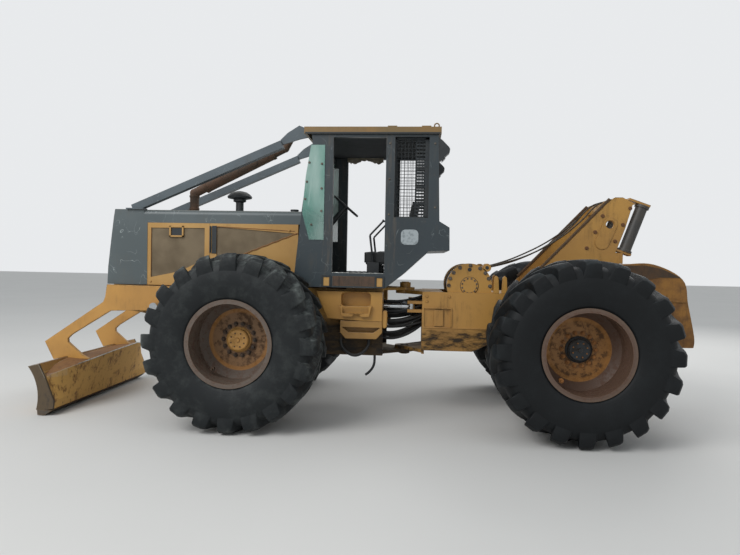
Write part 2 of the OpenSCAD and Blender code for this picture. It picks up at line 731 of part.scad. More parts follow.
// Cross section of the mouldboard, concave to the front
module blade_section(y0, y1) {
    curve_r = 520;
    translate([blade_x, 0, 0]) intersection() {
        side_plate(y0, y1, [
            [-155, blade_h - 36], [0, blade_h], [86, 379], [172, 158], [165, 75], [60, 60], [-40, 60], [-155, 100]
        ]);
        difference() {
            block(-200, 200, y0, y1, 0, blade_h + 10);
            cross_bar(-155 - 370, 200, y0 - 1, y1 + 1, curve_r);
        }
    }
}

module blade() {
    end_t = 25;
    half = blade_w / 2;
    color("#b5822c") difference() {
        blade_section(-half, half);
        // Hollow back between the box and the top band
        translate([blade_x, 0, 0]) side_plate(end_t - half, half - end_t, [[40, 440], [240, 440], [240, 600], [60, 600]]);
    }
}

module cutting_edge() {
    half = blade_w / 2;
    color("#3a3632") translate([blade_x, 0, 0]) side_plate(-half, half, [
        [-8, 6], [68, 6], [90, 20], [150, 60 - seat_gap], [0, 60 - seat_gap], [-12, 60 - seat_gap]
    ]);
}

// Arm plate with its dogleg, from the pivot to the blade
function arm_outline() = [
    [arm_pivot_x, arm_pivot_z + 128], [nose_x - 40, rail_z1 - 5], [nose_x - 60, 1250], [nose_x - 83, 1194],
    [nose_x - 780, 720], [blade_x - 166, blade_h - 38], [blade_x + 1, blade_h + seat_gap], [blade_x + 57, 440],
    [nose_x - 330, 440], [nose_x - 281, 567], [nose_x - 334, 600], [nose_x - 500, 722], [nose_x - 504, 761],
    [nose_x - 454, 809], [nose_x + 4, 1094], [nose_x + 300, 1104], [arm_pivot_x, arm_pivot_z - 128]
];

module blade_arms() {
    color("#c8922c") {
        both_sides() difference() {
            union() {
                side_plate(-arm_out_y, -arm_in_y, arm_outline());
                cross_bar(arm_pivot_x, arm_pivot_z, -arm_out_y, -arm_in_y, 128);
                // Boss that takes the cylinder's eye
                cross_bar(blade_eye_x, blade_eye_z, cyl_half_w + seat_gap - cyl_y, -arm_out_y + 1, 48);
            }
            cross_bar(arm_pivot_x, arm_pivot_z, -arm_out_y - 5, -arm_in_y + 5, arm_pin_r + pin_play);
        }
        // Plate that ties the arms above the blade
        block(nose_x - 352, nose_x - 330, -arm_in_y - 1, arm_in_y + 1, 440, 590);
    }
}

// Turns a piece drawn along -X from the barrel's pin to the line of the cylinder
module on_blade_cylinder() {
    translate([blade_base_x, -cyl_y, blade_base_z]) rotate([0, blade_cyl_tilt, 0]) children();
}

module blade_barrels() {
    color("#2c2c2c") both_sides() on_blade_cylinder() difference() {
        union() {
            rotate([90, 0, 0]) cylinder(h = cyl_half_w * 2, r = 48, center = true);
            translate([-70, -24, -24]) cube([40, 48, 48]);
            translate([-60, 0, 0]) rotate([0, -90, 0]) cylinder(h = 360, r = 46);
        }
        rotate([90, 0, 0]) cylinder(h = 80, r = 25 + pin_play, center = true);
        translate([-110, 0, 0]) rotate([0, -90, 0]) cylinder(h = 320, r = blade_rod_r);
    }
}

module blade_rods() {
    color("#b8bcc0") both_sides() on_blade_cylinder() {
        translate([-150, 0, 0]) rotate([0, -90, 0]) cylinder(h = blade_cyl_l - 180, r = blade_rod_r - pin_play);
        translate([-blade_cyl_l, 0, 0]) rotate([90, 0, 0]) cylinder(h = cyl_half_w * 2, r = 46, center = true);
    }
}

// Outline of a rear frame side plate
function rear_side() = [
    [rear_start_x, 736], [rear_start_x + 560, 736], [rear_x - 520, 960], [rear_x - 330, rail_z0 - 90],
    [rear_x + 330, rail_z0 - 90], [rear_x + 620, 1010], [rear_x + 700, 1060], [rear_x + 700, rear_z1], [rear_start_x, rear_z1]
];

module rear_frame() {
    color("#b98a2e") difference() {
        union() {
            both_sides() side_plate(rear_in_y, rear_out_y, rear_side());
            block(rear_start_x, rear_start_x + plate_t, -rear_in_y - 1, rear_in_y + 1, belly_z + 30 + seat_gap, rear_z1);
            block(rear_start_x, rear_start_x + 560, -rear_in_y - 1, rear_in_y + 1, 736, 762);
            block(rear_start_x, rear_start_x + 230, -rear_in_y - 1, rear_in_y + 1, rear_z1 - 24, rear_z1);
            block(drum_x + 280, rear_x + 700, -rear_in_y - 1, rear_in_y + 1, rear_z1 - 24, rear_z1);
            block(rear_x + 670, rear_x + 700, -rear_in_y - 1, rear_in_y + 1, 1060, rear_z1);
        }
        // Way for the drive shaft
        translate([rear_start_x - 10, 0, 900]) rotate([0, 90, 0]) cylinder(h = 80, r = 110);
        // Recessed step in each side
        both_sides() block(rear_start_x + 26, rear_start_x + 320, rear_out_y - 12, rear_out_y + 5, 1000, 1204);
    }
    // Lugs that sit between those of the front frame
    color("#b98a2e") {
        hinge_lug(rear_z1 - 40, rear_z1, rear_start_x + 5, 360);
        hinge_lug(belly_z + 30 + seat_gap, belly_z + 70, rear_start_x + 5, 360);
        // Towing pin eye at the back
        difference() {
            union() {
                block(rear_x + 695, rear_x + 760, -70, 70, 1090, 1130);
                post(rear_x + 770, 0, 1090, 1130, 70);
            }
            post(rear_x + 770, 0, 1080, 1140, 30);
        }
        // Brackets above and below each steering rod eye
        both_sides() for (z = [steer_z - 65, steer_z + 31])
            block(hinge_x + 35, rear_start_x + 5, steer_y - 55, steer_y + 55, z, z + 34);
    }
}

module arch() {
    plate_y = arch_out_y;
    t = 30;
    color("#c8922c") {
        both_sides() difference() {
            side_plate(-plate_y, t - plate_y, [
                [drum_x + 524, rear_z1 + seat_gap], [drum_x + 792, 1677], [drum_x + 1350, 2273], [drum_x + 1499, 2431],
                [drum_x + 1538, 2456], [drum_x + 1618, 2456], [drum_x + 1755, 2384], [drum_x + 1723, 2376],
                [drum_x + 1651, 2120], [drum_x + 1562, 1873], [drum_x + 1509, 1740], [drum_x + 1434, rear_z1 + seat_gap]
            ]);
            cross_bar(drum_x + 1490, 2160, -plate_y - 5, t + 5 - plate_y, 42);
        }
        // Top box, front apron and cross plates
        block(drum_x + 1500, drum_x + 1600, t - plate_y - 1, plate_y - t + 1, 2330, 2440);
        block(drum_x + 830, drum_x + 870, t - plate_y - 1, plate_y - t + 1, rear_z1 + seat_gap, 1640);
        block(drum_x + 1390, drum_x + 1425, t - plate_y - 1, plate_y - t + 1, rear_z1 + seat_gap, 1660);
        // Cheeks that carry the fairlead rollers
        both_sides() {
            roller_ear(true);
            roller_ear(false);
        }
        // Brackets of the low roller
        both_sides() {
            block(low_roller_x - 80, low_roller_x + 75, -plate_y, t + 6 - plate_y, low_roller_z - 60, low_roller_z + 58);
            cross_bar(low_roller_x, low_roller_z, -plate_y + 5, t + 46 - plate_y, 22);
        }
    }
}

// Axis of a side roller, from its low end to its high end
ROLLER_LOW = [drum_x + 1664, -400, 1868];
ROLLER_TOP = [drum_x + 1844, -400, 2372];
roller_run = norm(ROLLER_TOP - ROLLER_LOW);
roller_lean = atan2(ROLLER_TOP[0] - ROLLER_LOW[0], ROLLER_TOP[2] - ROLLER_LOW[2]);

module on_roller(side) {
    translate([ROLLER_LOW[0], side * 400, ROLLER_LOW[2]]) rotate([0, roller_lean, 0]) children();
}

// Ear plate at the low or the high end of a side roller, with its pin stub
module roller_ear(low) {
    ear_t = 24;
    z0 = low ? -ear_t - seat_gap : roller_run + seat_gap;
    on_roller(-1) {
        translate([-170, -58, z0]) cube([235, 110, ear_t]);
        translate([0, 0, low ? -10 : roller_run - 30]) cylinder(h = 40, r = 22);
    }
}

module side_roller(side) {
    color("#6b5a48") on_roller(side) difference() {
        union() {
            cylinder(h = roller_run, r = roller_r);
            cylinder(h = 26, r = roller_r + 14);
            translate([0, 0, roller_run - 26]) cylinder(h = 26, r = roller_r + 14);
        }
        translate([0, 0, -1]) cylinder(h = 40, r = 22 + pin_play);
        translate([0, 0, roller_run - 40]) cylinder(h = 41, r = 22 + pin_play);
    }
}

module low_roller() {
    half = arch_out_y - 36 - seat_gap;
    color("#6b5a48") difference() {
        cross_bar(low_roller_x, low_roller_z, -half, half, roller_r);
        both_sides() cross_bar(low_roller_x, low_roller_z, -half - 1, 42 - half, 22 + pin_play);
    }
}

// Curved plate behind the rear axle
function butt_back() = [
    [drum_x + 1434, 1700], [drum_x + 1608, 1728], [drum_x + 1901, 1733], [drum_x + 2196, 1579], [drum_x + 2258, 1317],
    [drum_x + 2331, 981], [drum_x + 2326, 867]
];

module butt_plate() {
    half = 620;
    color("#a8772c") {
        both_sides() difference() {
            side_plate(-half, 25 - half, concat(butt_back(), [[drum_x + 2227, 864], [drum_x + 1900, 930], [drum_x + 1720, 1120], [drum_x + 1434, 1300]]));
        }
        side_plate(24 - half, half - 24, concat(
            [for (i = [1:6]) butt_back()[i]],
            [[drum_x + 2300, 867], [drum_x + 2305, 975], [drum_x + 2233, 1308], [drum_x + 2174, 1562], [drum_x + 1893, 1708], [drum_x + 1608, 1703]]
        ));
        // Ribs that tie the sides to the frame end
        both_sides() block(rear_x + 560, rear_x + 700, -half + 24, -rear_out_y - seat_gap, 1180, 1360);
    }
}

module winch_case() {
    color("#c8922c") {
        both_sides() {
            cross_bar(drum_x, drum_z, -rear_in_y + seat_gap, -case_in_y, case_r);
            // Foot on the side plate
            block(drum_x - 210, drum_x + 260, -rear_in_y + seat_gap, -case_in_y, 1120, 1400);
            // Ring of the bearing cap
            cross_bar(drum_x, drum_z, -rear_in_y - 16, -rear_in_y + 1, drum_z - rear_z1 - 1);
        }
        cross_bar(drum_x, drum_z, -case_in_y - 1, -case_in_y + 40, 60);
        cross_bar(drum_x, drum_z, case_in_y - 40, case_in_y + 1, 60);
        block(drum_x - 210, drum_x - 180, -case_in_y - 1, case_in_y + 1, 1120, 1200);
        block(drum_x + 230, drum_x + 260, -case_in_y - 1, case_in_y + 1, 1120, 1200);
    }
}

module drum() {
    half = drum_w / 2;
    color("#4a453f") difference() {
        translate([drum_x, 0, drum_z]) rotate([90, 0, 0]) rotate_extrude() polygon([
            [0, -half], [drum_flange_r, -half], [drum_flange_r, 24 - half], [drum_r, 30 - half], [drum_r, half - 30],
            [drum_flange_r, half - 24], [drum_flange_r, half], [0, half]
        ]);
        cross_bar(drum_x, drum_z, -half - 1, 32 - half, 60 + pin_play);
        cross_bar(drum_x, drum_z, half - 32, half + 1, 60 + pin_play);
    }
}

module drum_cable() {
    half = drum_w / 2 - 31;
    color("#3c3833") translate([drum_x, 0, drum_z]) rotate([90, 0, 0]) rotate_extrude() polygon([
        [drum_r + seat_gap, -half], [drum_r + 52, -half], [drum_r + 52, half], [drum_r + seat_gap, half]
    ]);
}

module steer_barrel(side) {
    color("#b98a2e") translate([steer_base_x, side * steer_y, steer_z]) difference() {
        union() {
            cylinder(h = 62, r = 50, center = true);
            translate([36, -25, -25]) cube([40, 50, 50]);
            translate([60, 0, 0]) rotate([0, 90, 0]) cylinder(h = steer_barrel_l - 60, r = 46);
        }
        cylinder(h = 80, r = steer_pin_r + pin_play, center = true);
        translate([steer_bore_start, 0, 0]) rotate([0, 90, 0]) cylinder(h = steer_barrel_l, r = steer_rod_r);
    }
}

module steer_rod(side) {
    color("#c4c8cc") translate([steer_eye_x, side * steer_y, steer_z]) {
        cylinder(h = 61, r = 44, center = true);
        translate([steer_rod_in + steer_base_x - steer_eye_x, 0, 0]) rotate([0, 90, 0])
            cylinder(h = steer_eye_x - steer_base_x - steer_rod_in - 20, r = steer_rod_r - pin_play);
    }
}

front_frame();
axle(front_x, 0);  // front_axle
engine_block();
radiator();
radiator_guard();
grille();
hood();
engine_panels();
mesh_guards();
pre_cleaner();
exhaust();
limb_risers();
cab_shell();
cab_roof();
cab_glass();
cab_floor();
seat();
steering_column();
side_boxes();
rear_lamps();
driveline();
hose_loop();
hose_end();
far_door();
blade();
cutting_edge();
blade_arms();
blade_barrels();
blade_rods();
rear_frame();
axle(rear_x, 90);  // rear_axle
arch();
butt_plate();
winch_case();
drum();
drum_cable();
side_roller(-1);  // side_roller_l
side_roller(1);  // side_roller_r
low_roller();
steer_barrel(-1);  // steer_barrel_l
steer_barrel(1);  // steer_barrel_r
steer_rod(-1);  // steer_rod_l
steer_rod(1);  // steer_rod_r
tyre(front_x, -1);  // tyre_fl
rim(front_x, -1);  // rim_fl
tyre(front_x, 1);  // tyre_fr
rim(front_x, 1);  // rim_fr
tyre(rear_x, -1);  // tyre_rl
rim(rear_x, -1);  // rim_rl
tyre(rear_x, 1);  // tyre_rr
rim(rear_x, 1);  // rim_rr
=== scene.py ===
# %% [markdown]
# # Log skidder, dressed for the render
# The machine is an articulated tractor that drags felled trees. It has a front blade, a guarded cab,
# a cable winch and a rear arch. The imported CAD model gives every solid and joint, and this script adds
# what the eye expects: worn enamel, rubber lugs, woven guards, bolts, wire rope and a padded seat.
#
# Front is -X, the machine's left side is -Y, and the ground is z = 0. All lengths are in metres.

import math
import random
from functools import partial

import bmesh
import bpy
from mathutils import Matrix, Vector


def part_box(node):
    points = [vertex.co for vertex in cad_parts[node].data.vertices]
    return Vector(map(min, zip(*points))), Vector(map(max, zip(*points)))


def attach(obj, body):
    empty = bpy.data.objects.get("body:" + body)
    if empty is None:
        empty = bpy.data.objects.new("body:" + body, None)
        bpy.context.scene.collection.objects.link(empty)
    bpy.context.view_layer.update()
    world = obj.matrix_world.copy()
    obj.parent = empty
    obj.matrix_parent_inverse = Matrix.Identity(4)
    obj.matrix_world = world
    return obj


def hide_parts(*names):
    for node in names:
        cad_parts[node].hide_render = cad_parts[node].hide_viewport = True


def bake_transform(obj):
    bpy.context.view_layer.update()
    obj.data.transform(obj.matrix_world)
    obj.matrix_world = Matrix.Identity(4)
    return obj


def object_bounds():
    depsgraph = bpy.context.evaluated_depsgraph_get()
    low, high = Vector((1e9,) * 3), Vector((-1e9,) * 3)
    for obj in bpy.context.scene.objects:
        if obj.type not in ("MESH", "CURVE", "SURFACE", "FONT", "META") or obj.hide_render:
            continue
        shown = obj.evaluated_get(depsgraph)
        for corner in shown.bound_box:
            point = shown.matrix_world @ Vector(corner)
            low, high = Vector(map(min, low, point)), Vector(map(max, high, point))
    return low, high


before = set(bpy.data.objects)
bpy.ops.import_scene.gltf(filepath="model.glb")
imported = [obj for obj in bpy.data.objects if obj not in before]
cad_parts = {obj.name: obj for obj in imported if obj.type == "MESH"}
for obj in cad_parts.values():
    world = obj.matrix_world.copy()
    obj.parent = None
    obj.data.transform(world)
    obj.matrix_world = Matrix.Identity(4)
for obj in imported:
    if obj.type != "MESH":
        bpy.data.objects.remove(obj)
cad_low, cad_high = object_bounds()
random.seed(11)
print("CAD box", [round(v, 3) for v in cad_high - cad_low])

# %% [markdown]
# The main places come from the CAD nodes themselves, so the scene follows the part when it is packed
# again: wheel centres, the blade, the drum, the cab, the roof and the hood.

# %% Main places
def centre_of(node):
    low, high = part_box(node)
    return (low + high) / 2


WHEELS = {key: centre_of("tyre_" + key) for key in ("fl", "fr", "rl", "rr")}
FRONT_X = WHEELS["fl"].x
BLADE_X = FRONT_X - 2.197
BLADE_TOP = 0.530
BLADE_BOX_BACK = 0.272
TYRE_R = (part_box("tyre_fl")[1].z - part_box("tyre_fl")[0].z) / 2
TYRE_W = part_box("tyre_fl")[1].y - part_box("tyre_fl")[0].y
RIM_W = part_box("rim_fl")[1].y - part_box("rim_fl")[0].y
DRUM = centre_of("drum")
CAB_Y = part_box("cab_shell")[0].y
ROOF_LOW, ROOF_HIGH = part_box("cab_roof")
HOOD_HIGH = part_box("hood")[1]
print("wheels at", {k: tuple(round(c, 3) for c in v) for k, v in WHEELS.items()})

# %% [markdown]
# The camera stands where the photograph was taken: level with the engine's hood, about six metres from
# the near wheels, and turned a few degrees towards the front. The tilt and roll are small, as for a phone
# held in the hand, and the lens was found from the circles of the near rims.

# %% Camera
IMAGE_W = 740
LENS_PX = 590
SENSOR_W = 36
CAMERA_AT = Vector((0.686, -7.045, 1.684))
YAW, PITCH, ROLL = 0.0795, -0.0227, 0.0191


def aim_camera():
    look = Vector((-math.sin(YAW) * math.cos(PITCH), math.cos(YAW) * math.cos(PITCH), math.sin(PITCH)))
    right = Vector((math.cos(YAW), math.sin(YAW), 0))
    up = right.cross(look)
    turned_right = math.cos(ROLL) * right + math.sin(ROLL) * up
    turned_up = -math.sin(ROLL) * right + math.cos(ROLL) * up
    turn = Matrix((turned_right, turned_up, -look)).transposed().to_4x4()
    camera = bpy.data.objects.new("camera", bpy.data.cameras.new("camera"))
    camera.data.sensor_width = SENSOR_W
    camera.data.lens = SENSOR_W * LENS_PX / IMAGE_W
    camera.matrix_world = Matrix.Translation(CAMERA_AT) @ turn
    bpy.context.scene.collection.objects.link(camera)
    bpy.context.scene.camera = camera


aim_camera()
print("camera lens", round(bpy.context.scene.camera.data.lens, 1), "mm")

# %% [markdown]
# Two hydraulic hoses hang free under the cab. Each keeps the route of its CAD tube, as a smooth curve
# with a round section. The loose one ends bare.

# %% Hoses
LOOP_ROUTE = [
    (-0.145, -0.520, 0.850), (-0.145, -0.520, 0.805), (-0.125, -0.524, 0.755), (-0.090, -0.529, 0.712),
    (-0.042, -0.532, 0.680), (0.010, -0.530, 0.667), (0.062, -0.529, 0.678), (0.108, -0.527, 0.708),
    (0.144, -0.523, 0.752), (0.165, -0.520, 0.805), (0.165, -0.520, 0.850),
]
END_ROUTE = [
    (0.230, -0.455, 0.662), (0.230, -0.455, 0.615), (0.226, -0.456, 0.568), (0.212, -0.457, 0.527),
    (0.188, -0.458, 0.492), (0.160, -0.458, 0.462), (0.130, -0.457, 0.440),
]


def route_length(route):
    return sum((Vector(b) - Vector(a)).length for a, b in zip(route, route[1:]))


def curve_tube(name, route, radius, sides=4):
    """A round tube, as a mesh, along one smooth curve through the route's points."""
    data = bpy.data.curves.new(name, "CURVE")
    data.dimensions = "3D"
    data.bevel_depth = radius
    data.bevel_resolution = sides
    data.use_fill_caps = True
    spline = data.splines.new("BEZIER")
    spline.bezier_points.add(len(route) - 1)
    for point, place in zip(spline.bezier_points, route):
        point.co = place
        point.handle_left_type = point.handle_right_type = "AUTO"
    spline.resolution_u = 8
    curve = bpy.data.objects.new(name, data)
    mesh = bpy.data.meshes.new_from_object(curve)
    bpy.data.objects.remove(curve)
    mesh.shade_smooth()
    tube = bpy.data.objects.new(name, mesh)
    bpy.context.scene.collection.objects.link(tube)
    return tube


HOSES = {}
for name, route, radius, end in (("hose_loop", LOOP_ROUTE, 0.017, "object"),
                                 ("hose_end", END_ROUTE, 0.014, "bare")):
    hose = curve_tube(name + "_tube", route, radius)
    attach(hose, "chassis")
    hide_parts(name)
    HOSES[name] = hose
    print(name, round(route_length(route), 3), "m")

# %% [markdown]
# ## Materials
# Every finish is built from a few noise fields in the piece's own coordinates, so it stays on the piece
# when a joint moves. One function turns a hex colour into Blender's linear light, and one adds a node:
# its feeds go to the node's open sockets in order, and its settings name properties or sockets.

# %% Node helper
def linear(hexa):
    """Linear RGBA of an sRGB hex colour."""
    channels = [int(hexa[i:i + 2], 16) / 255 for i in (1, 3, 5)]
    return tuple(c / 12.92 if c <= 0.04045 else ((c + 0.055) / 1.055) ** 2.4 for c in channels) + (1.0,)


def put(socket, value):
    """Link a socket to another, or give it a value. A string is a hex colour."""
    if isinstance(value, bpy.types.NodeSocket):
        socket.id_data.links.new(value, socket)
    else:
        socket.default_value = linear(value) if isinstance(value, str) else value


def add(tree, kind, *feeds, **settings):
    """A new shader node, of which the first open output is given back."""
    node = tree.nodes.new("ShaderNode" + kind)
    for key, value in settings.items():
        if hasattr(node, key):
            setattr(node, key, value)
        else:
            put(node.inputs[key.replace("_", " ")], value)
    for socket, value in zip([s for s in node.inputs if s.enabled], feeds):
        put(socket, value)
    return next((s for s in node.outputs if s.enabled), None)


def new_material(name, roughness=0.6, metallic=0.0):
    """A material, its node maker, its shader and the coordinates on the piece itself in metres."""
    material = bpy.data.materials.new(name)
    material.use_nodes = True
    node = partial(add, material.node_tree)
    shader = material.node_tree.nodes["Principled BSDF"].inputs
    put(shader["Roughness"], roughness)
    put(shader["Metallic"], metallic)
    return material, node, shader, node("TexCoord").node.outputs["Object"]


SOFT = {"interpolation_type": "SMOOTHSTEP"}
BLEND = {"data_type": "RGBA"}
TIMES = {"operation": "MULTIPLY"}
PLUS = {"operation": "ADD"}
MOST = {"operation": "MAXIMUM"}


def worn_edges(node, reach=0.006):
    """1 on sharp outer edges and 0 on flat faces, from the normal of a rounded edge."""
    round_edge = node("Bevel", Radius=reach, samples=4)
    true_normal = node("NewGeometry").node.outputs["True Normal"]
    meet = node("VectorMath", round_edge, true_normal, operation="DOT_PRODUCT").node.outputs["Value"]
    return node("MapRange", meet, 0.99, 0.88, **SOFT)


def facing_up(node, low=0.55, high=0.95):
    """1 on faces that look up, where dust and needles lie."""
    normal = node("TexCoord").node.outputs["Normal"]
    return node("MapRange", node("SeparateXYZ", normal).node.outputs["Z"], low, high, **SOFT)


# %% [markdown]
# Old enamel is one recipe: a coat that has faded in patches, grime that ran down in streaks, chips along
# the edges that show primer and rust, pale scratches, and dust on what faces up. Low parts are black with
# oil, soil and, on the front frame, painted shade under the belly; boots and hands wear brown bands on posts.
# The eye reads the sheen first, so the clean coat is a little glossy, and grime, chips and dust are dull.

# %% Worn enamel
def enamel(name, coat, faded, grime="#3a2f22", rust="#5a3a24", grime_amount=0.5, chips=0.5, dust=0.35,
           gloss=0.42,
           dust_colour="#a5957a", scratches=0.0, scratch="#9aa3a3", oil_and_shade_z=None, oil_and_shade=(0.8, 0.97),
           bands=(), reach=0.006):
    material, node, shader, place = new_material(name)
    patches = node("MapRange", node("TexNoise", place, Scale=1.8, Detail=5), 0.38, 0.66, **SOFT)
    colour = node("Mix", patches, coat, faded, **BLEND)
    tall = node("Mapping", place, Scale=(1, 1, 0.11))
    streaks = node("MapRange", node("TexNoise", tall, Scale=20, Detail=6, Roughness=0.7), 0.42, 0.68, **SOFT)
    blotch = node("TexNoise", place, Scale=3, Detail=6, Roughness=0.65)
    grime_and_shade = node("Math", node("Math", streaks, node("MapRange", blotch, 0.46, 0.68, **SOFT), **TIMES),
                 grime_amount, **TIMES)
    parts = node("SeparateXYZ", place).node.outputs
    # Darker low band: oil and soil, and on the front frame also painted shade under the belly
    if oil_and_shade_z:
        low = node("MapRange", node("Math", parts["Z"], node("Math", blotch, 0.12, **TIMES), **PLUS), *oil_and_shade_z,
                   **SOFT)
        smears = node("TexNoise", node("Mapping", place, Scale=(0.3, 1, 1)), Scale=13, Detail=7,
                      Roughness=0.7)
        oil_and_shade = node("MapRange", smears, 0.42, 0.60, *oil_and_shade, **SOFT)
        grime_and_shade = node("Math", grime_and_shade, node("Math", low, oil_and_shade, **TIMES), **MOST)
    colour = node("Mix", grime_and_shade, colour, grime, **BLEND)
    for x0, x1 in bands:
        inside = node("Math", node("MapRange", parts["X"], x0 - 0.02, x0 + 0.02, **SOFT),
                      node("MapRange", parts["X"], x1 + 0.02, x1 - 0.02, **SOFT), **TIMES)
        rubbed = node("Math", inside, node("MapRange", streaks, 0.2, 1, 0.05, 0.5, **SOFT), **TIMES)
        colour = node("Mix", rubbed, colour, "#544d44", **BLEND)
    spotted = node("MapRange", node("TexNoise", place, Scale=17, Detail=5), 0.40, 0.56, **SOFT)
    pits = node("MapRange", node("TexNoise", place, Scale=62, Detail=3), 0.71, 0.75, **SOFT)
    pits = node("Math", pits, node("MapRange", blotch, 0.46, 0.60, **SOFT), **TIMES)
    bare = node("Math", node("Math", worn_edges(node, reach), spotted, **TIMES), pits, **MOST)
    bare = node("Math", bare, chips, **TIMES)
    colour = node("Mix", bare, colour, rust, **BLEND)
    if scratches:
        curl = node("Math", node("TexNoise", place, Scale=4.5, Detail=2, Distortion=0.8), 0.5,
                    operation="SUBTRACT")
        thin = node("MapRange", node("Math", curl, operation="ABSOLUTE"), 0.006, 0.002, **SOFT)
        thin = node("Math", thin, node("MapRange", node("TexNoise", place, Scale=7, Detail=3), 0.47, 0.60,
                                       **SOFT), **TIMES)
        colour = node("Mix", node("Math", thin, scratches, **TIMES), colour, scratch, **BLEND)
    dusty = node("Math", facing_up(node), dust, **TIMES)
    put(shader["Base Color"], node("Mix", dusty, colour, dust_colour, **BLEND))
    dull = node("Math", node("Math", grime_and_shade, bare, **MOST), dusty, **MOST)
    put(shader["Roughness"], node("MapRange", dull, 0.0, 0.7, gloss, 0.85, **SOFT))
    relief = node("Math", node("Math", node("TexNoise", place, Scale=4.5, Detail=3), 1.2, **TIMES),
                  node("Math", node("TexNoise", place, Scale=83, Detail=4), 0.12, **TIMES), **PLUS)
    relief = node("Math", relief, bare, operation="SUBTRACT")
    put(shader["Normal"], node("Bump", Height=relief, Strength=0.35, Distance=0.004))
    return material


MATERIALS = {
    "frame_yellow": enamel("frame_yellow", "#b98b43", "#a87c3d", grime_amount=0.55),
    # The front frame's dark low band is partly oil and partly painted shade under the belly
    "low_frame_yellow": enamel("low_frame_yellow", "#c09450", "#b08645", grime="#1d1b19", grime_amount=0.6,
                               oil_and_shade_z=(1.20, 1.02), oil_and_shade=(0.90, 0.99)),
    "rear_frame_yellow": enamel("rear_frame_yellow", "#b58743", "#a67a3c", grime="#231c14", grime_amount=0.55,
                                oil_and_shade_z=(1.06, 0.99), oil_and_shade=(0.30, 0.97)),
    "panel_yellow": enamel("panel_yellow", "#bb9254", "#b08648", grime_amount=0.25, chips=0.35, dust=0.2),
    "roof_yellow": enamel("roof_yellow", "#86673a", "#75603c", grime_amount=0.5, dust=0.4),
    "axle_paint": enamel("axle_paint", "#54442a", "#3a3125", grime="#17140f", grime_amount=0.9, gloss=0.5),
    "guard_grey": enamel("guard_grey", "#565f61", "#4e5759", grime="#5a554a", rust="#6b5a4a",
                         grime_amount=0.3,
                         dust=0.4, gloss=0.40, dust_colour="#7d7c74", scratches=0.8),
    "cab_grey": enamel("cab_grey", "#2f393e", "#2a3338", grime="#4c4840", rust="#6b5a4a", grime_amount=0.4,
                       dust=0.4, gloss=0.40, dust_colour="#7d7c74", scratches=0.35,
                       bands=((-0.358, -0.221), (0.303, 0.457))),
    "door_grey": enamel("door_grey", "#333c41", "#2c3439", grime="#5d5347", rust="#6b5442", grime_amount=0.5,
                        dust=0.3, gloss=0.45, dust_colour="#7d7c74"),
    "riser_grey": enamel("riser_grey", "#515c62", "#454f55", grime="#4c463c", rust="#5c4433",
                         grime_amount=0.35,
                         dust=0.25, gloss=0.45, dust_colour="#8a877c", scratches=0.3),
}
print(len(MATERIALS), "enamels")

# %% [markdown]
# Rubber is matt and close to black. Dust lies in patches on the upper lugs and in the corners, and the
# sidewall has faint moulded rings. The front pair stands in pale yard dust, and the rear pair is darker.

# %% Rubber
def from_axle(node, place, centre):
    """Distance from a wheel's axle."""
    parts = node("SeparateXYZ", node("VectorMath", place, centre, operation="SUBTRACT")).node.outputs
    squares = node("Math", node("Math", parts["X"], parts["X"], **TIMES),
                   node("Math", parts["Z"], parts["Z"], **TIMES), **PLUS)
    return node("Math", squares, operation="SQRT")


def rubber(name, base, dusty, dust, centre):
    material, node, shader, place = new_material(name)
    radius = from_axle(node, place, centre)
    cloud = node("MapRange", node("TexNoise", place, Scale=6, Detail=6, Roughness=0.7), 0.42, 0.70, **SOFT)
    tread = node("Math", node("MapRange", radius, TYRE_R - 0.10, TYRE_R, **SOFT), 0.45, **TIMES)
    lying = node("Math", facing_up(node, 0.3, 0.9), 0.6, **TIMES)
    where = node("Math", node("Math", tread, lying, **PLUS), 0.12, **PLUS)
    amount = node("Math", node("Math", cloud, where, **TIMES), dust, **TIMES)
    put(shader["Base Color"], node("Mix", amount, base, dusty, **BLEND))
    put(shader["Roughness"], node("MapRange", amount, 0.0, 0.6, 0.60, 0.95, **SOFT))
    put(shader["Specular IOR Level"], 0.3)
    rings = node("Math", node("Math", radius, 260, **TIMES), operation="SINE")
    rings = node("Math", rings, node("MapRange", radius, 0.53, 0.50, 0, 0.10, **SOFT), **TIMES)
    fine = node("Math", node("TexNoise", place, Scale=100, Detail=5), 0.3, **TIMES)
    scuffs = node("Math", node("TexNoise", place, Scale=20, Detail=4, Roughness=0.7), 0.5, **TIMES)
    put(shader["Normal"], node("Bump", Height=node("Math", node("Math", rings, fine, **PLUS), scuffs, **PLUS),
                               Strength=0.5, Distance=0.003))
    return material


# %% [markdown]
# A rim is painted steel that has rusted by zones. The disc in the middle keeps most of its ochre paint,
# and the barrel round it is brown-grey with rust bloom. The zones are circles about the axle.

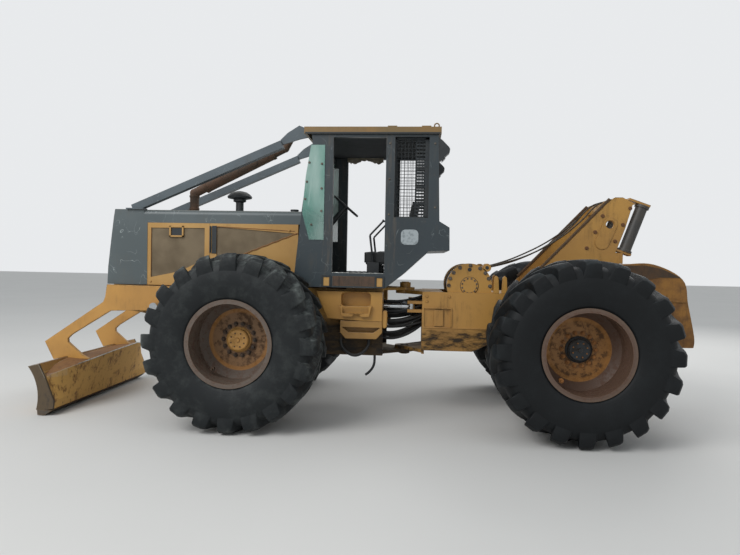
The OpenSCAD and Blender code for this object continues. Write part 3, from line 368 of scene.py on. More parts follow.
# %% Rims
def rim_paint(name, centre, disc, cap, barrel, flange):
    material, node, shader, place = new_material(name)
    radius = from_axle(node, place, centre)
    blotch = node("TexNoise", place, Scale=11, Detail=7, Roughness=0.75)
    flow = node("TexNoise", place, Scale=29, Detail=5, Roughness=0.7)
    rusted = node("MapRange", node("Mix", 0.3, blotch, flow), 0.47, 0.58, **SOFT)
    disc_colour = node("Mix", node("Math", rusted, 0.85, **TIMES), disc, "#4a3422", **BLEND)
    barrel_colour = node("Mix", node("Math", rusted, 0.6, **TIMES), barrel, "#5a4032", **BLEND)
    cap_colour = node("Mix", node("Math", rusted, 0.3, **TIMES), cap, "#4a3a28", **BLEND)
    colour = node("Mix", node("MapRange", radius, 0.408, 0.414, **SOFT), barrel_colour, flange, **BLEND)
    colour = node("Mix", node("MapRange", radius, 0.322, 0.312, **SOFT), colour, disc_colour, **BLEND)
    edge = node("Math", node("MapRange", radius, 0.268, 0.290, **SOFT),
                node("MapRange", radius, 0.322, 0.312, **SOFT), **TIMES)
    colour = node("Mix", node("Math", edge, 0.6, **TIMES), colour, "#b07a3c", **BLEND)
    nuts = node("Math", node("MapRange", radius, 0.150, 0.153, **SOFT),
                node("MapRange", radius, 0.182, 0.178, **SOFT), **TIMES)
    colour = node("Mix", node("Math", nuts, 0.4, **TIMES), colour, "#2e2118", **BLEND)
    colour = node("Mix", node("MapRange", radius, 0.1335, 0.1325, **SOFT), colour, cap_colour, **BLEND)
    colour = node("Mix", node("Math", worn_edges(node, 0.005), 0.5, **TIMES), colour, "#8a6c4e", **BLEND)
    put(shader["Base Color"], colour)
    put(shader["Roughness"], node("MapRange", rusted, 0, 1, 0.5, 0.8, **SOFT))
    put(shader["Normal"], node("Bump", Height=node("Math", rusted, flow, **PLUS), Strength=0.3,
                               Distance=0.002))
    return material


# %% [markdown]
# The rest are plain recipes. Rusted plate shows orange bloom over brown; bare steel, chrome and wire rope
# keep a metal shader with their own roughness; glass is green-tinted and scratched.

# %% Rust, metal and plastic
def rusted_plate(name, base, bloom, dark, scale=5.5, roughness=0.78, bright="#9b7b52"):
    material, node, shader, place = new_material(name, roughness)
    cloud = node("MapRange", node("TexNoise", place, Scale=scale, Detail=7, Roughness=0.7), 0.36, 0.64,
                 **SOFT)
    tall = node("Mapping", place, Scale=(1, 1, 0.125))
    streaks = node("MapRange", node("TexNoise", tall, Scale=25, Detail=5, Roughness=0.7), 0.50, 0.72, 0, 0.7,
                   **SOFT)
    colour = node("Mix", streaks, node("Mix", cloud, base, bloom, **BLEND), dark, **BLEND)
    put(shader["Base Color"], node("Mix", node("Math", worn_edges(node), 0.5, **TIMES), colour, bright,
                                   **BLEND))
    grain = node("Math", node("TexNoise", place, Scale=125, Detail=5, Roughness=0.7), 0.25, **TIMES)
    dents = node("Math", grain, node("TexNoise", place, Scale=6.7, Detail=3), **PLUS)
    put(shader["Normal"], node("Bump", Height=dents, Strength=0.35, Distance=0.004))
    return material


def bare_metal(name, colour, stain, roughness, metallic=1.0, scale=20):
    material, node, shader, place = new_material(name, roughness, metallic)
    cloud = node("MapRange", node("TexNoise", place, Scale=scale, Detail=5), 0.42, 0.7, **SOFT)
    put(shader["Base Color"], node("Mix", node("Math", cloud, 0.7, **TIMES), colour, stain, **BLEND))
    put(shader["Roughness"], node("MapRange", cloud, 0, 1, roughness, min(1, roughness + 0.25), **SOFT))
    put(shader["Normal"], node("Bump", Height=node("TexNoise", place, Scale=170, Detail=4), Strength=0.15,
                               Distance=0.001))
    return material


def plastic(name, colour, stain, roughness, dust="#77746a"):
    material, node, shader, place = new_material(name, roughness)
    dirt = node("MapRange", node("TexNoise", place, Scale=8, Detail=6), 0.45, 0.7, 0, 0.5, **SOFT)
    dusty = node("Math", facing_up(node), 0.4, **TIMES)
    put(shader["Base Color"], node("Mix", dusty, node("Mix", dirt, colour, stain, **BLEND), dust, **BLEND))
    put(shader["Normal"], node("Bump", Height=node("TexNoise", place, Scale=250, Detail=3), Strength=0.2,
                               Distance=0.0008))
    return material


# %% [markdown]
# The blade's back is the most used surface. Its paint is yellow low down, with dark scratches along the
# slope where soil slid off, reddish brown above, and bright bare steel in one line along the box's edge.

# %% Blade
def blade_paint(name, edge_z, edge_x):
    material, node, shader, place = new_material(name, 0.75)
    parts = node("SeparateXYZ", place).node.outputs
    blotch = node("TexNoise", place, Scale=7, Detail=7, Roughness=0.75)
    fleck = node("TexNoise", node("Mapping", place, Scale=(1, 1, 0.3)), Scale=26, Detail=6, Roughness=0.75)
    rusted = node("MapRange", node("Mix", 0.45, blotch, fleck), 0.50, 0.60, **SOFT)
    colour = node("Mix", node("Math", rusted, 0.8, **TIMES), "#c79a54", "#6a4326", **BLEND)
    dark = node("MapRange", fleck, 0.61, 0.66, 0, 0.8, **SOFT)
    colour = node("Mix", dark, colour, "#2e2216", **BLEND)
    above = node("Math", facing_up(node, 0.25, 0.6),
                 node("MapRange", parts["Z"], edge_z - 0.135, edge_z - 0.115, **SOFT), **TIMES)
    colour = node("Mix", node("Math", above, 0.85, **TIMES), colour, "#6b472c", **BLEND)
    ends = node("MapRange", node("Math", parts["Y"], operation="ABSOLUTE"), 1.0545, 1.0555, **SOFT)
    face = node("MapRange", parts["X"], edge_x - 0.33, edge_x - 0.37, **SOFT)
    colour = node("Mix", node("Math", node("Math", ends, face, **MOST), 0.9, **TIMES), colour, "#37342f",
                  **BLEND)
    line = node("Math", worn_edges(node, 0.010), node("MapRange", parts["Z"], edge_z - 0.14, edge_z - 0.12,
                                                      **SOFT), **TIMES)
    colour = node("Mix", node("Math", line, 0.9, **TIMES), colour, "#b9b3a3", **BLEND)
    put(shader["Base Color"], colour)
    relief = node("Math", node("TexNoise", place, Scale=6.7, Detail=3), node("Math", fleck, 0.5, **TIMES),
                  **PLUS)
    put(shader["Normal"], node("Bump", Height=relief, Strength=0.4, Distance=0.004))
    return material


# %% [markdown]
# The screens and the seat: old polycarbonate is a tinted clear sheet that scatters a little and keeps a dull
# gloss, perforated sheet shows rows of dark holes a few millimetres across, and vinyl has fine cracks.

# %% Glass, perforated sheet and vinyl
def screen_glass(name, tint, faded, see_through, clear_below=None):
    material, node, shader, place = new_material(name, 0.18)
    soft = node("Mapping", place, Scale=(1, 1, 0.33))
    haze = node("MapRange", node("TexNoise", soft, Scale=3.3, Detail=4), 0.3, 0.75, **SOFT)
    alpha = node("MapRange", haze, 0, 1, 1 - see_through, 1 - see_through + 0.18, **SOFT)
    if clear_below:
        height = node("SeparateXYZ", place).node.outputs["Z"]
        alpha = node("Math", alpha, node("MapRange", height, clear_below - 0.2, clear_below, 0.6, 1, **SOFT),
                     **TIMES)
    put(shader["Base Color"], node("Mix", haze, tint, faded, **BLEND))
    put(shader["Alpha"], alpha)
    put(shader["Normal"], node("Bump", Height=node("TexNoise", place, Scale=2.5, Detail=2), Strength=0.05,
                               Distance=0.003))
    return material


def perforated(name, colour, stain, cell, bar):
    material, node, shader, place = new_material(name, 0.75)
    parts = node("SeparateXYZ", place).node.outputs
    waves = [node("Math", node("Math", node("Math", parts[axis], math.pi / cell, **TIMES), operation="SINE"),
                  operation="ABSOLUTE") for axis in ("X", "Z")]
    hole = node("MapRange", node("Math", *waves, **TIMES), bar, bar + 0.2, **SOFT)
    cloud = node("MapRange", node("TexNoise", place, Scale=4, Detail=5), 0.35, 0.7, **SOFT)
    solid = node("Mix", cloud, colour, stain, **BLEND)
    put(shader["Base Color"], node("Mix", node("Math", hole, 0.6, **TIMES), solid, "#2b241b", **BLEND))
    put(shader["Normal"], node("Bump", Height=node("Math", 1, hole, operation="SUBTRACT"), Strength=0.4,
                               Distance=0.002))
    return material


def vinyl(name, colour):
    material, node, shader, place = new_material(name, 0.55)
    cracks = node("MapRange", node("TexNoise", place, Scale=33, Detail=6, Roughness=0.75), 0.58, 0.62, **SOFT)
    put(shader["Base Color"], node("Mix", node("Math", cracks, 0.5, **TIMES), colour, "#4a4640", **BLEND))
    grain = node("Math", node("TexNoise", place, Scale=330, Detail=3), cracks, **PLUS)
    put(shader["Normal"], node("Bump", Height=grain, Strength=0.3, Distance=0.001))
    return material


MATERIALS.update({
    "tyre_front": rubber("tyre_front", "#15191b", "#7a807d", 0.75, WHEELS["fl"]),
    "tyre_rear": rubber("tyre_rear", "#060a0d", "#414a4d", 0.40, WHEELS["rl"]),
    "rim_front": rim_paint("rim_front", WHEELS["fl"], "#86633f", "#bd8d4a", "#5f544b", "#5f5147"),
    "rim_rear": rim_paint("rim_rear", WHEELS["rl"], "#9c6c34", "#1c2429", "#5a463a", "#5f4c3f"),
    "butt_rust": rusted_plate("butt_rust", "#94682f", "#6f4c28", "#2c2118"),
    "butt_dark": rusted_plate("butt_dark", "#3f3225", "#513a24", "#241c15"),
    "blade_worn": blade_paint("blade_worn", BLADE_TOP, BLADE_X + BLADE_BOX_BACK),
    "arm_yellow": enamel("arm_yellow", "#c4924a", "#b28343", rust="#3a2c1e", grime_amount=0.3, chips=0.9,
                         dust=0.2,
                         reach=0.014),
    "step_brown": enamel("step_brown", "#a87e40", "#8f6b38", grime="#241e17", grime_amount=0.85, dust=0.3,
                         reach=0.010),
    "arch_yellow": enamel("arch_yellow", "#b98b43", "#a87c3d", rust="#33261a", grime_amount=0.5, chips=0.9,
                          dust=0.2,
                          reach=0.012),
    "edge_steel": rusted_plate("edge_steel", "#4a443c", "#5b4a38", "#2d2823", 8, 0.6),
    "exhaust_steel": rusted_plate("exhaust_steel", "#55463a", "#654a38", "#332b26", 7),
    "roller_steel": rusted_plate("roller_steel", "#3b3a38", "#45403a", "#242322", 10, 0.5, "#8f8b84"),
    "floor_steel": rusted_plate("floor_steel", "#4a3d33", "#5a4536", "#2b2723", 8),
    "engine_grey": rusted_plate("engine_grey", "#3b3a36", "#4a4438", "#1e1d1a", 5, 0.6),
    "bead_rust": rusted_plate("bead_rust", "#8a6338", "#7c4f2c", "#3a281a", 30),
    "nut_rust": rusted_plate("nut_rust", "#96602f", "#a9703a", "#3a281a", 20),
    "nut_steel": rusted_plate("nut_steel", "#2c2722", "#4a3524", "#17140f", 20, 0.6, "#6d5a48"),
    "bolt_rust": rusted_plate("bolt_rust", "#5a3a22", "#6d4526", "#2c2119", 20),
    "radiator_core": bare_metal("radiator_core", "#2d2f31", "#4a443a", 0.6, 0.4),
    "chrome_rod": bare_metal("chrome_rod", "#c3c7ca", "#8e8a82", 0.16),
    "wire_rope": bare_metal("wire_rope", "#4f4a43", "#332e28", 0.5, 0.7, 50),
    "worn_steel": bare_metal("worn_steel", "#6a645c", "#4a3c30", 0.5, 0.8),
    "bare_plate": bare_metal("bare_plate", "#a3abae", "#7f878a", 0.5, 0.35, 33),
    "bright_sill": bare_metal("bright_sill", "#b9bcba", "#7d7a72", 0.35, 0.9),
    "guard_steel": plastic("guard_steel", "#23292d", "#33332f", 0.6, "#4a4a46"),
    "black_plastic": plastic("black_plastic", "#23272a", "#3a3c3c", 0.45),
    "hose_rubber": plastic("hose_rubber", "#191b1d", "#2e2d2a", 0.5),
    "dark_lens": plastic("dark_lens", "#30363a", "#1c2022", 0.25),
    "pale_cloth": plastic("pale_cloth", "#a9a294", "#6d675c", 0.8),
    "headliner": plastic("headliner", "#34383b", "#26292b", 0.9, "#34383b"),
    "screen_green": screen_glass("screen_green", "#6fa396", "#a9c2ba", 0.34, 2.35),
    "engine_mesh": perforated("engine_mesh", "#85755c", "#6b5c45", 0.012, 0.45),
    "seat_vinyl": vinyl("seat_vinyl", "#1f2224"),
})
print(len(MATERIALS), "materials")

# %% [markdown]
# Every CAD node takes a material here. Those that finer pieces replace further on, such as the tyres and
# the seat, have one too, so that no node is left plain.

# %% Finish of the CAD nodes
FINISH = {
    "frame_yellow": ["side_boxes", "steer_barrel_l", "steer_barrel_r", "blade_arms", "winch_case"],
    "arch_yellow": ["arch"],
    "low_frame_yellow": ["front_frame"],
    "rear_frame_yellow": ["rear_frame"],
    "panel_yellow": ["engine_panels"],
    "roof_yellow": ["cab_roof"],
    "axle_paint": ["front_axle", "rear_axle"],
    "guard_grey": ["radiator_guard", "hood"],
    "cab_grey": ["cab_shell"],
    "door_grey": ["far_door", "grille"],
    "riser_grey": ["limb_risers"],
    "engine_grey": ["engine_block", "driveline"],
    "radiator_core": ["radiator"],
    "guard_steel": ["mesh_guards"],
    "black_plastic": ["pre_cleaner", "steering_column", "rear_lamps"],
    "exhaust_steel": ["exhaust"],
    "screen_green": ["cab_glass"],
    "floor_steel": ["cab_floor"],
    "blade_worn": ["blade"],
    "edge_steel": ["cutting_edge"],
    "butt_rust": ["butt_plate"],
    "roller_steel": ["side_roller_l", "side_roller_r", "low_roller"],
    "worn_steel": ["drum", "blade_barrels"],
    "wire_rope": ["drum_cable"],
    "chrome_rod": ["blade_rods", "steer_rod_l", "steer_rod_r"],
    "rim_front": ["rim_fl", "rim_fr"],
    "rim_rear": ["rim_rl", "rim_rr"],
    "tyre_front": ["tyre_fl", "tyre_fr"],
    "tyre_rear": ["tyre_rl", "tyre_rr"],
    "seat_vinyl": ["seat"],
    "hose_rubber": ["hose_loop", "hose_end"],
}


def wear(obj, material):
    obj.data.materials.clear()
    obj.data.materials.append(MATERIALS[material])


for material, nodes in FINISH.items():
    for item in nodes:
        wear(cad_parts[item], material)
for hose in HOSES.values():
    wear(hose, "hose_rubber")
unfinished = set(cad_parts) - {item for nodes in FINISH.values() for item in nodes}
print("nodes without a finish:", sorted(unfinished))

# %% [markdown]
# ## Tyres
# A forestry tyre has deep bent bars that run from each shoulder to the middle, half a pitch apart on the
# two sides, so that mud is pushed out. Seen from the side each bar ends in a block that stands out of the
# rounded shoulder. The casing is a lathed profile, and each bar is a loft between stations across the
# tread. Its leading flank is steep and its trailing flank slopes, as moulded rubber has to leave its mould.

# %% Tyre casing and bars
LUG_H = 0.058
LUGS = 20
BAR_START = -0.0157
BAR_WEAR = 0.006
END_SUNK = 0.024
STATIONS_R = 0.885
BODIES = {"fl": "wheel_front_left", "fr": "wheel_front_right", "rl": "wheel_rear_left",
          "rr": "wheel_rear_right"}


def casing_profile():
    """Radius and distance from the middle of the tyre, from one bead to the other."""
    edge = TYRE_W / 2
    half = [(0.404, RIM_W / 2 - 0.017), (0.440, RIM_W / 2 - 0.013), (0.452, RIM_W / 2 + 0.002),
            (0.492, edge - 0.024),
            (0.560, edge - 0.010), (0.637, edge - 0.003), (0.700, edge - 0.010), (0.742, edge - 0.020),
            (0.775, edge - 0.042), (0.797, edge - 0.072), (0.815, edge - 0.115), (0.824, edge - 0.170),
            (TYRE_R - LUG_H, 0)]
    return half + [(r, -w) for r, w in reversed(half[:-1])]


def on_wheel(centre, side, radius, angle, across):
    """Point on a wheel: angle in the wheel's plane, across outwards from the middle of the tyre."""
    return Vector((centre.x + radius * math.cos(angle), centre.y + side * across,
                   centre.z + radius * math.sin(angle)))


def lathe(mesh, centre, side, profile, turns=96):
    rings = []
    for i in range(turns):
        angle = 2 * math.pi * i / turns
        rings.append([mesh.verts.new(on_wheel(centre, side, r, angle, w)) for r, w in profile])
    for i in range(turns):
        a, b = rings[i], rings[(i + 1) % turns]
        for k in range(len(profile) - 1):
            mesh.faces.new((a[k], a[k + 1], b[k + 1], b[k]))


# Stations of one bar, for a tyre of radius STATIONS_R: share of the way to the middle, lead round the
# tyre, top radius, root radius, half width
BAR_STATIONS = [
    (0.000, 0.000, 0.775, 0.660, 0.068),
    (0.031, 0.001, 0.846, 0.690, 0.070),
    (0.110, 0.006, 0.871, 0.750, 0.069),
    (0.232, 0.014, 0.884, 0.790, 0.066),
    (0.420, 0.045, 0.885, 0.812, 0.058),
    (0.606, 0.098, 0.885, 0.818, 0.049),
    (0.820, 0.172, 0.885, 0.818, 0.045),
    (1.010, 0.250, 0.884, 0.818, 0.041),
]


def tread_bar(mesh, centre, side, hand, start, jitter):
    """One bar of the tread. hand is +1 for the outer half of the tyre and -1 for the inner half."""
    sections = []
    for share, lead, top_r, root_r, half in BAR_STATIONS:
        across = hand * TYRE_W / 2 * (1 - share)
        angle = start + lead / TYRE_R
        top_r = top_r - STATIONS_R + TYRE_R - (jitter if share > 0.03 else 0)
        top, root = half / top_r, half / root_r
        # The root of the end face lies inside the sidewall, so the block fades into it
        sunk = across - hand * (END_SUNK if share == 0 else 0)
        sections.append([mesh.verts.new(on_wheel(centre, side, r, angle + turn, w)) for r, turn, w in (
            (root_r, -root - 0.006, sunk), (top_r - 0.006, -top, across), (top_r, 0.008 - top, across),
            (top_r - 0.001, 0.5 * top, across), (top_r - 0.016, top, across), (root_r, root + 0.044, sunk))])
    for a, b in zip(sections, sections[1:]):
        for k in range(5):
            mesh.faces.new((a[k], a[k + 1], b[k + 1], b[k]))
    mesh.faces.new(sections[0])
    mesh.faces.new(list(reversed(sections[-1])))


def finish_mesh(name, mesh, material, smooth_angle=None):
    """A new object from a bmesh, its faces turned outwards."""
    bmesh.ops.recalc_face_normals(mesh, faces=mesh.faces)
    data = bpy.data.meshes.new(name)
    mesh.to_mesh(data)
    mesh.free()
    obj = bpy.data.objects.new(name, data)
    bpy.context.scene.collection.objects.link(obj)
    wear(obj, material)
    if smooth_angle is not None:
        data.shade_smooth()
        data.set_sharp_from_angle(angle=math.radians(smooth_angle))
    return obj


def make_tyre(key):
    """Casing and bars of one tyre. Bars are worn unevenly, so their height varies by a few millimetres."""
    centre = WHEELS[key]
    side = -1 if key.endswith("l") else 1
    mesh = bmesh.new()
    lathe(mesh, centre, side, casing_profile())
    for i in range(LUGS):
        for hand, shift in ((1, 0), (-1, 0.5)):
            start = 2 * math.pi * (i + shift) / LUGS + BAR_START
            tread_bar(mesh, centre, side, hand, start, random.uniform(0, BAR_WEAR))
    tyre = finish_mesh("tyre_" + key + "_rubber", mesh, "tyre_front" if key.startswith("f") else "tyre_rear",
                       32)
    bevel = tyre.modifiers.new("rounded_edges", "BEVEL")
    bevel.width, bevel.segments, bevel.limit_method, bevel.angle_limit = 0.006, 2, "ANGLE", math.radians(28)
    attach(tyre, BODIES[key])
    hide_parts("tyre_" + key)
    return tyre


for key in WHEELS:
    tyre = make_tyre(key)
    print(tyre.name, len(tyre.data.polygons), "faces")

# %% [markdown]
# ## Small shapes
# Most added pieces are sheet, bar and bolts. These few functions put such shapes into one bmesh, so that
# a group of like pieces becomes one object with rounded edges, as pressed or forged steel has.

# %% Shape helpers
def add_box(mesh, low, high):
    """A block between two corners."""
    for corner in bmesh.ops.create_cube(mesh, size=1)["verts"]:
        corner.co = Vector([low[i] + (corner.co[i] + 0.5) * (high[i] - low[i]) for i in range(3)])


def add_bars(mesh, y0, y1, rectangles):
    """Blocks between y0 and y1, each given by its x and z limits."""
    for x0, x1, z0, z1 in rectangles:
        add_box(mesh, (x0, min(y0, y1), z0), (x1, max(y0, y1), z1))


def add_prism(mesh, outline, y0, y1):
    """A plate that stands along the machine, its outline in X and Z."""
    near = [mesh.verts.new((x, y0, z)) for x, z in outline]
    far = [mesh.verts.new((x, y1, z)) for x, z in outline]
    mesh.faces.new(near)
    mesh.faces.new(list(reversed(far)))
    for i in range(len(outline)):
        k = (i + 1) % len(outline)
        mesh.faces.new((near[i], near[k], far[k], far[i]))


def add_rod(mesh, start, end, radius, sides=12, end_radius=None):
    """A round or many-sided bar between two points."""
    start, end = Vector(start), Vector(end)
    turn = (end - start).to_track_quat("Z", "Y").to_matrix().to_4x4()
    place = Matrix.Translation((start + end) / 2) @ turn
    bmesh.ops.create_cone(mesh, cap_ends=True, segments=sides, radius1=radius,
                          radius2=radius if end_radius is None else end_radius, depth=(end - start).length,
                          matrix=place)


def add_bolt(mesh, at, out, across=0.030, height=0.018):
    """A hex head on its washer, standing out from a face."""
    at, out = Vector(at), Vector(out).normalized()
    add_rod(mesh, at - out * 0.002, at + out * 0.004, across * 0.72, 16)
    add_rod(mesh, at + out * 0.003, at + out * height, across / 2 * 1.155, 6)


def add_bead(mesh, route, radius, closed=True):
    """A weld bead or a bent wire, as short rods from point to point."""
    for a, b in zip(route, route[1:] + route[:1] if closed else route[1:]):
        add_rod(mesh, a, b, radius, 6)


def add_net(mesh, low, high, pitch, wire):
    """Woven wire in a window that stands along the machine: every wire goes over one and under the next."""
    across = round((high[0] - low[0]) / pitch)
    upward = round((high[2] - low[2]) / pitch)
    step_x, step_z = (high[0] - low[0]) / across, (high[2] - low[2]) / upward
    middle = (low[1] + high[1]) / 2
    for i in range(across):
        for k in range(upward):
            lift = wire * 0.45 * (1 if (i + k) % 2 else -1)
            x, z = low[0] + i * step_x, low[2] + k * step_z
            if i:
                add_rod(mesh, (x, middle - lift, z), (x, middle + lift, z + step_z), wire / 2, 5)
            if k:
                add_rod(mesh, (x, middle - lift, z), (x + step_x, middle + lift, z), wire / 2, 5)


def piece(name, mesh, body, material, bevel=0.0, smooth=35, replaces=()):
    """A finished piece: its object, material, rounded edges and the body that carries it."""
    obj = finish_mesh(name, mesh, material, smooth)
    if bevel:
        rounded = obj.modifiers.new("rounded_edges", "BEVEL")
        rounded.width, rounded.segments, rounded.limit_method = bevel, 2, "ANGLE"
        rounded.angle_limit = math.radians(40)
    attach(obj, body)
    if replaces:
        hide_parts(*replaces)
    return obj


# %% [markdown]
# ## Screens
# The engine's side panels breathe through perforated sheet, which is brown with dust. The cab's rear
# windows have woven wire of 40 mm pitch in a broad dark frame of sheet, with a strip of louvres behind it.

# %% Screens
SHEET = 0.008
PANEL_Y = -HOOD_HIGH.y
SPLIT_X = FRONT_X - 0.550
GUARD_X1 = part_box("radiator_guard")[1].x
HOOD_X1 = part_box("hood")[1].x
CAB_IN_Y = CAB_Y + 0.050
REAR_NET_X = 0.8317


def make_engine_screens():
    mesh = bmesh.new()
    for side in (-1, 1):
        y0, y1 = side * (abs(PANEL_Y) - SHEET - 0.0003), side * (abs(PANEL_Y) - SHEET - 0.0040)
        add_prism(mesh, [(GUARD_X1 + 0.041, 1.445), (SPLIT_X - 0.041, 1.445), (SPLIT_X - 0.041, 2.075),
                         (GUARD_X1 + 0.041, 2.075)], y0, y1)
        add_prism(mesh, [(SPLIT_X + 0.041, 1.600), (HOOD_X1 - 0.061, 1.720), (HOOD_X1 - 0.061, 2.075),
                         (SPLIT_X + 0.041, 2.080)], y0, y1)
    return piece("engine_screens", mesh, "chassis", "engine_mesh", replaces=("mesh_guards",),
                 smooth=None)


def make_window_nets():
    nets = bmesh.new()
    frames = bmesh.new()
    x0, x1, z0, z1 = 0.407, 0.808, 2.174, 3.062
    for side in (-1, 1):
        y0, y1 = side * (abs(CAB_IN_Y) - 0.0003), side * (abs(CAB_IN_Y) - 0.0063)
        add_bars(frames, y0, y1, [(x0, x1, z0, z0 + 0.030), (x0, x1, z1 - 0.030, z1),
                                  (x0, x0 + 0.034, z0, z1),
                                  (x1 - 0.060, x1, z0, z1)])
        for i in range(22):
            z = z0 + 0.045 + i * 0.0375
            add_bars(frames, y0 - side * 0.0062, y0 - side * 0.016, [(0.656, 0.750, z, z + 0.020)])
        add_bars(frames, y0 - side * 0.0062, y0 - side * 0.012,
                 [(0.648, 0.656, z0, z1), (0.750, 0.758, z0, z1)])
        add_net(nets, (x0 + 0.008, min(y0, y1), z0 + 0.008), (x1 - 0.008, max(y0, y1), z1 - 0.008), 0.040,
                0.0050)
    rear = bmesh.new()
    half, top = abs(CAB_IN_Y) - 0.070, ROOF_LOW.z - 0.040
    add_net(rear, (-half, -0.003, 2.208), (half, 0.003, top - 0.008), 0.050, 0.0050)
    add_bars(rear, -0.003, 0.003, [(-half, half, 2.200, 2.216), (-half, half, top - 0.016, top),
                                   (-half, 0.016 - half, 2.2, top), (half - 0.016, half, 2.2, top)])
    place = Matrix.Translation((REAR_NET_X, 0, 0)) @ Matrix.Rotation(math.radians(90), 4, "Z")
    bmesh.ops.transform(rear, matrix=place, verts=rear.verts)
    piece("side_window_nets", nets, "chassis", "guard_steel")
    piece("side_window_frames", frames, "chassis", "guard_steel", bevel=0.001)
    piece("rear_window_net", rear, "chassis", "guard_steel")


make_engine_screens()
make_window_nets()
print("screens made")

# %% [markdown]
# ## Seat
# The operator's seat is vinyl over foam on a sprung pedestal. The cushion and the back are crowned forms
# with a sewn channel across the middle, and their sides pull in between the corners.

# %% Seat
def pad_form(name, size, place):
    """A crowned pad from a subdivided block, with a channel sewn across its face at two places."""
    mesh = bmesh.new()
    bmesh.ops.create_cube(mesh, size=1)
    bmesh.ops.subdivide_edges(mesh, edges=mesh.edges, cuts=15, use_grid_fill=True)
    for v in mesh.verts:
        u, w, t = v.co * 2
        pull = 1 - 0.035 * (1 - u * u) * (abs(w) > 0.99) - 0.035 * (1 - w * w) * (abs(u) > 0.99)
        pull *= 1 - 0.06 * abs(u * w) ** 3
        high = v.co.z
        if t > 0:
            crown = (1 - abs(u) ** 2.6) * (1 - abs(w) ** 2.6)
            seam = sum(math.exp(-((u - s) / 0.05) ** 2) for s in (-0.36, 0.36))
            high = high * (0.72 + 0.28 * crown) - 0.10 * seam * (t > 0.5) * (1 - abs(w) ** 6)
        v.co = Vector((v.co.x * size[0] * pull, v.co.y * size[1] * pull, high * size[2]))
    bmesh.ops.transform(mesh, matrix=place, verts=mesh.verts)
    pad = finish_mesh(name, mesh, "seat_vinyl", 60)
    smooth = pad.modifiers.new("soft", "SUBSURF")
    smooth.levels = smooth.render_levels = 1
    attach(pad, "chassis")
    return pad


def make_seat():
    floor_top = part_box("cab_floor")[1].z
    back_turn = Matrix.Translation((0.470, 0, 1.800)) @ Matrix.Rotation(math.radians(12), 4, "Y")
    back_turn = back_turn @ Matrix.Translation((0.055, 0, 0.340)) @ Matrix.Rotation(math.radians(-90), 4, "Y")
    cushion = pad_form("seat_cushion", (0.46, 0.50, 0.14), Matrix.Translation((0.290, 0, 1.770)))
    back = pad_form("seat_back", (0.62, 0.46, 0.10), back_turn)
    mesh = bmesh.new()
    add_box(mesh, (0.130, -0.190, floor_top + 0.001), (0.290, 0.190, floor_top + 0.030))
    for i in range(7):
        inset, z = 0.006 * (i % 2), floor_top + 0.030 + i * 0.026
        add_box(mesh, (0.135 + inset, inset - 0.180, z), (0.285 - inset, 0.180 - inset, z + 0.026))
    add_box(mesh, (0.090, -0.225, 1.680), (0.490, 0.225, 1.702))
    for y in (-0.20, 0.17):
        add_prism(mesh, [(0.430, 1.690), (0.500, 1.690), (0.560, 1.860), (0.535, 1.870)], y, y + 0.03)
    base = piece("seat_pedestal", mesh, "chassis", "black_plastic", bevel=0.004,
                 replaces=("seat",))
    return cushion, back, base


for item in make_seat():
    print(item.name, len(item.data.polygons), "faces")

# %% [markdown]
# The wheel nuts are large and sit in a ring of dark round washers on the disc, for a forestry wheel is
# clamped by fourteen studs. The hub's end plate has small screws, and the valve stands in the barrel.

# %% Wheel nuts and valves
STUDS, NUT_RING, NUT_FACE = 14, 0.164, -0.038
HUB_SCREWS, HUB_RING, HUB_FACE = 8, 0.072, NUT_FACE + 0.062
VALVE_RADIUS, VALVE_DEGREES, VALVE_ACROSS = 0.345, 233, 0.150


def make_wheel_nuts(key, body):
    nuts = bmesh.new()
    centre, side = WHEELS[key], -1 if key.endswith("l") else 1
    outward = Vector((0, side, 0))
    for i in range(STUDS):
        at = on_wheel(centre, side, NUT_RING, math.radians(i * 360 / STUDS), NUT_FACE)
        add_rod(nuts, at - outward * 0.002, at + outward * 0.004, 0.024, 20)
        add_rod(nuts, at, at + outward * 0.024, 0.0185, 6)
        add_rod(nuts, at, at + outward * 0.034, 0.0095, 12)
    for i in range(HUB_SCREWS):
        at = on_wheel(centre, side, HUB_RING, math.radians(i * 360 / HUB_SCREWS + 20), HUB_FACE)
        add_rod(nuts, at - outward * 0.003, at + outward * 0.006, 0.008, 6)
    valve = on_wheel(centre, side, VALVE_RADIUS, math.radians(VALVE_DEGREES), VALVE_ACROSS)
    add_rod(nuts, valve, valve + outward * 0.030, 0.024, 20)
    add_rod(nuts, valve, valve + outward * 0.050, 0.010, 12)
    return piece("wheel_nuts_" + key, nuts, body, "nut_steel" if key in ("fl", "fr") else "nut_rust",
                 bevel=0.001)


for key, body in BODIES.items():
    make_wheel_nuts(key, body)
print("wheel nuts made")

# %% [markdown]
# ## Blade and arms
# The mouldboard is stiffened by a box along its back, whose top and ends slope down to the end plates.
# Two thick plates with a dogleg carry it from the pivots on the frame. The box is flame-cut sheet, bent
# and welded, so its edges are crisp, and soil has worn the top edge to bare metal.

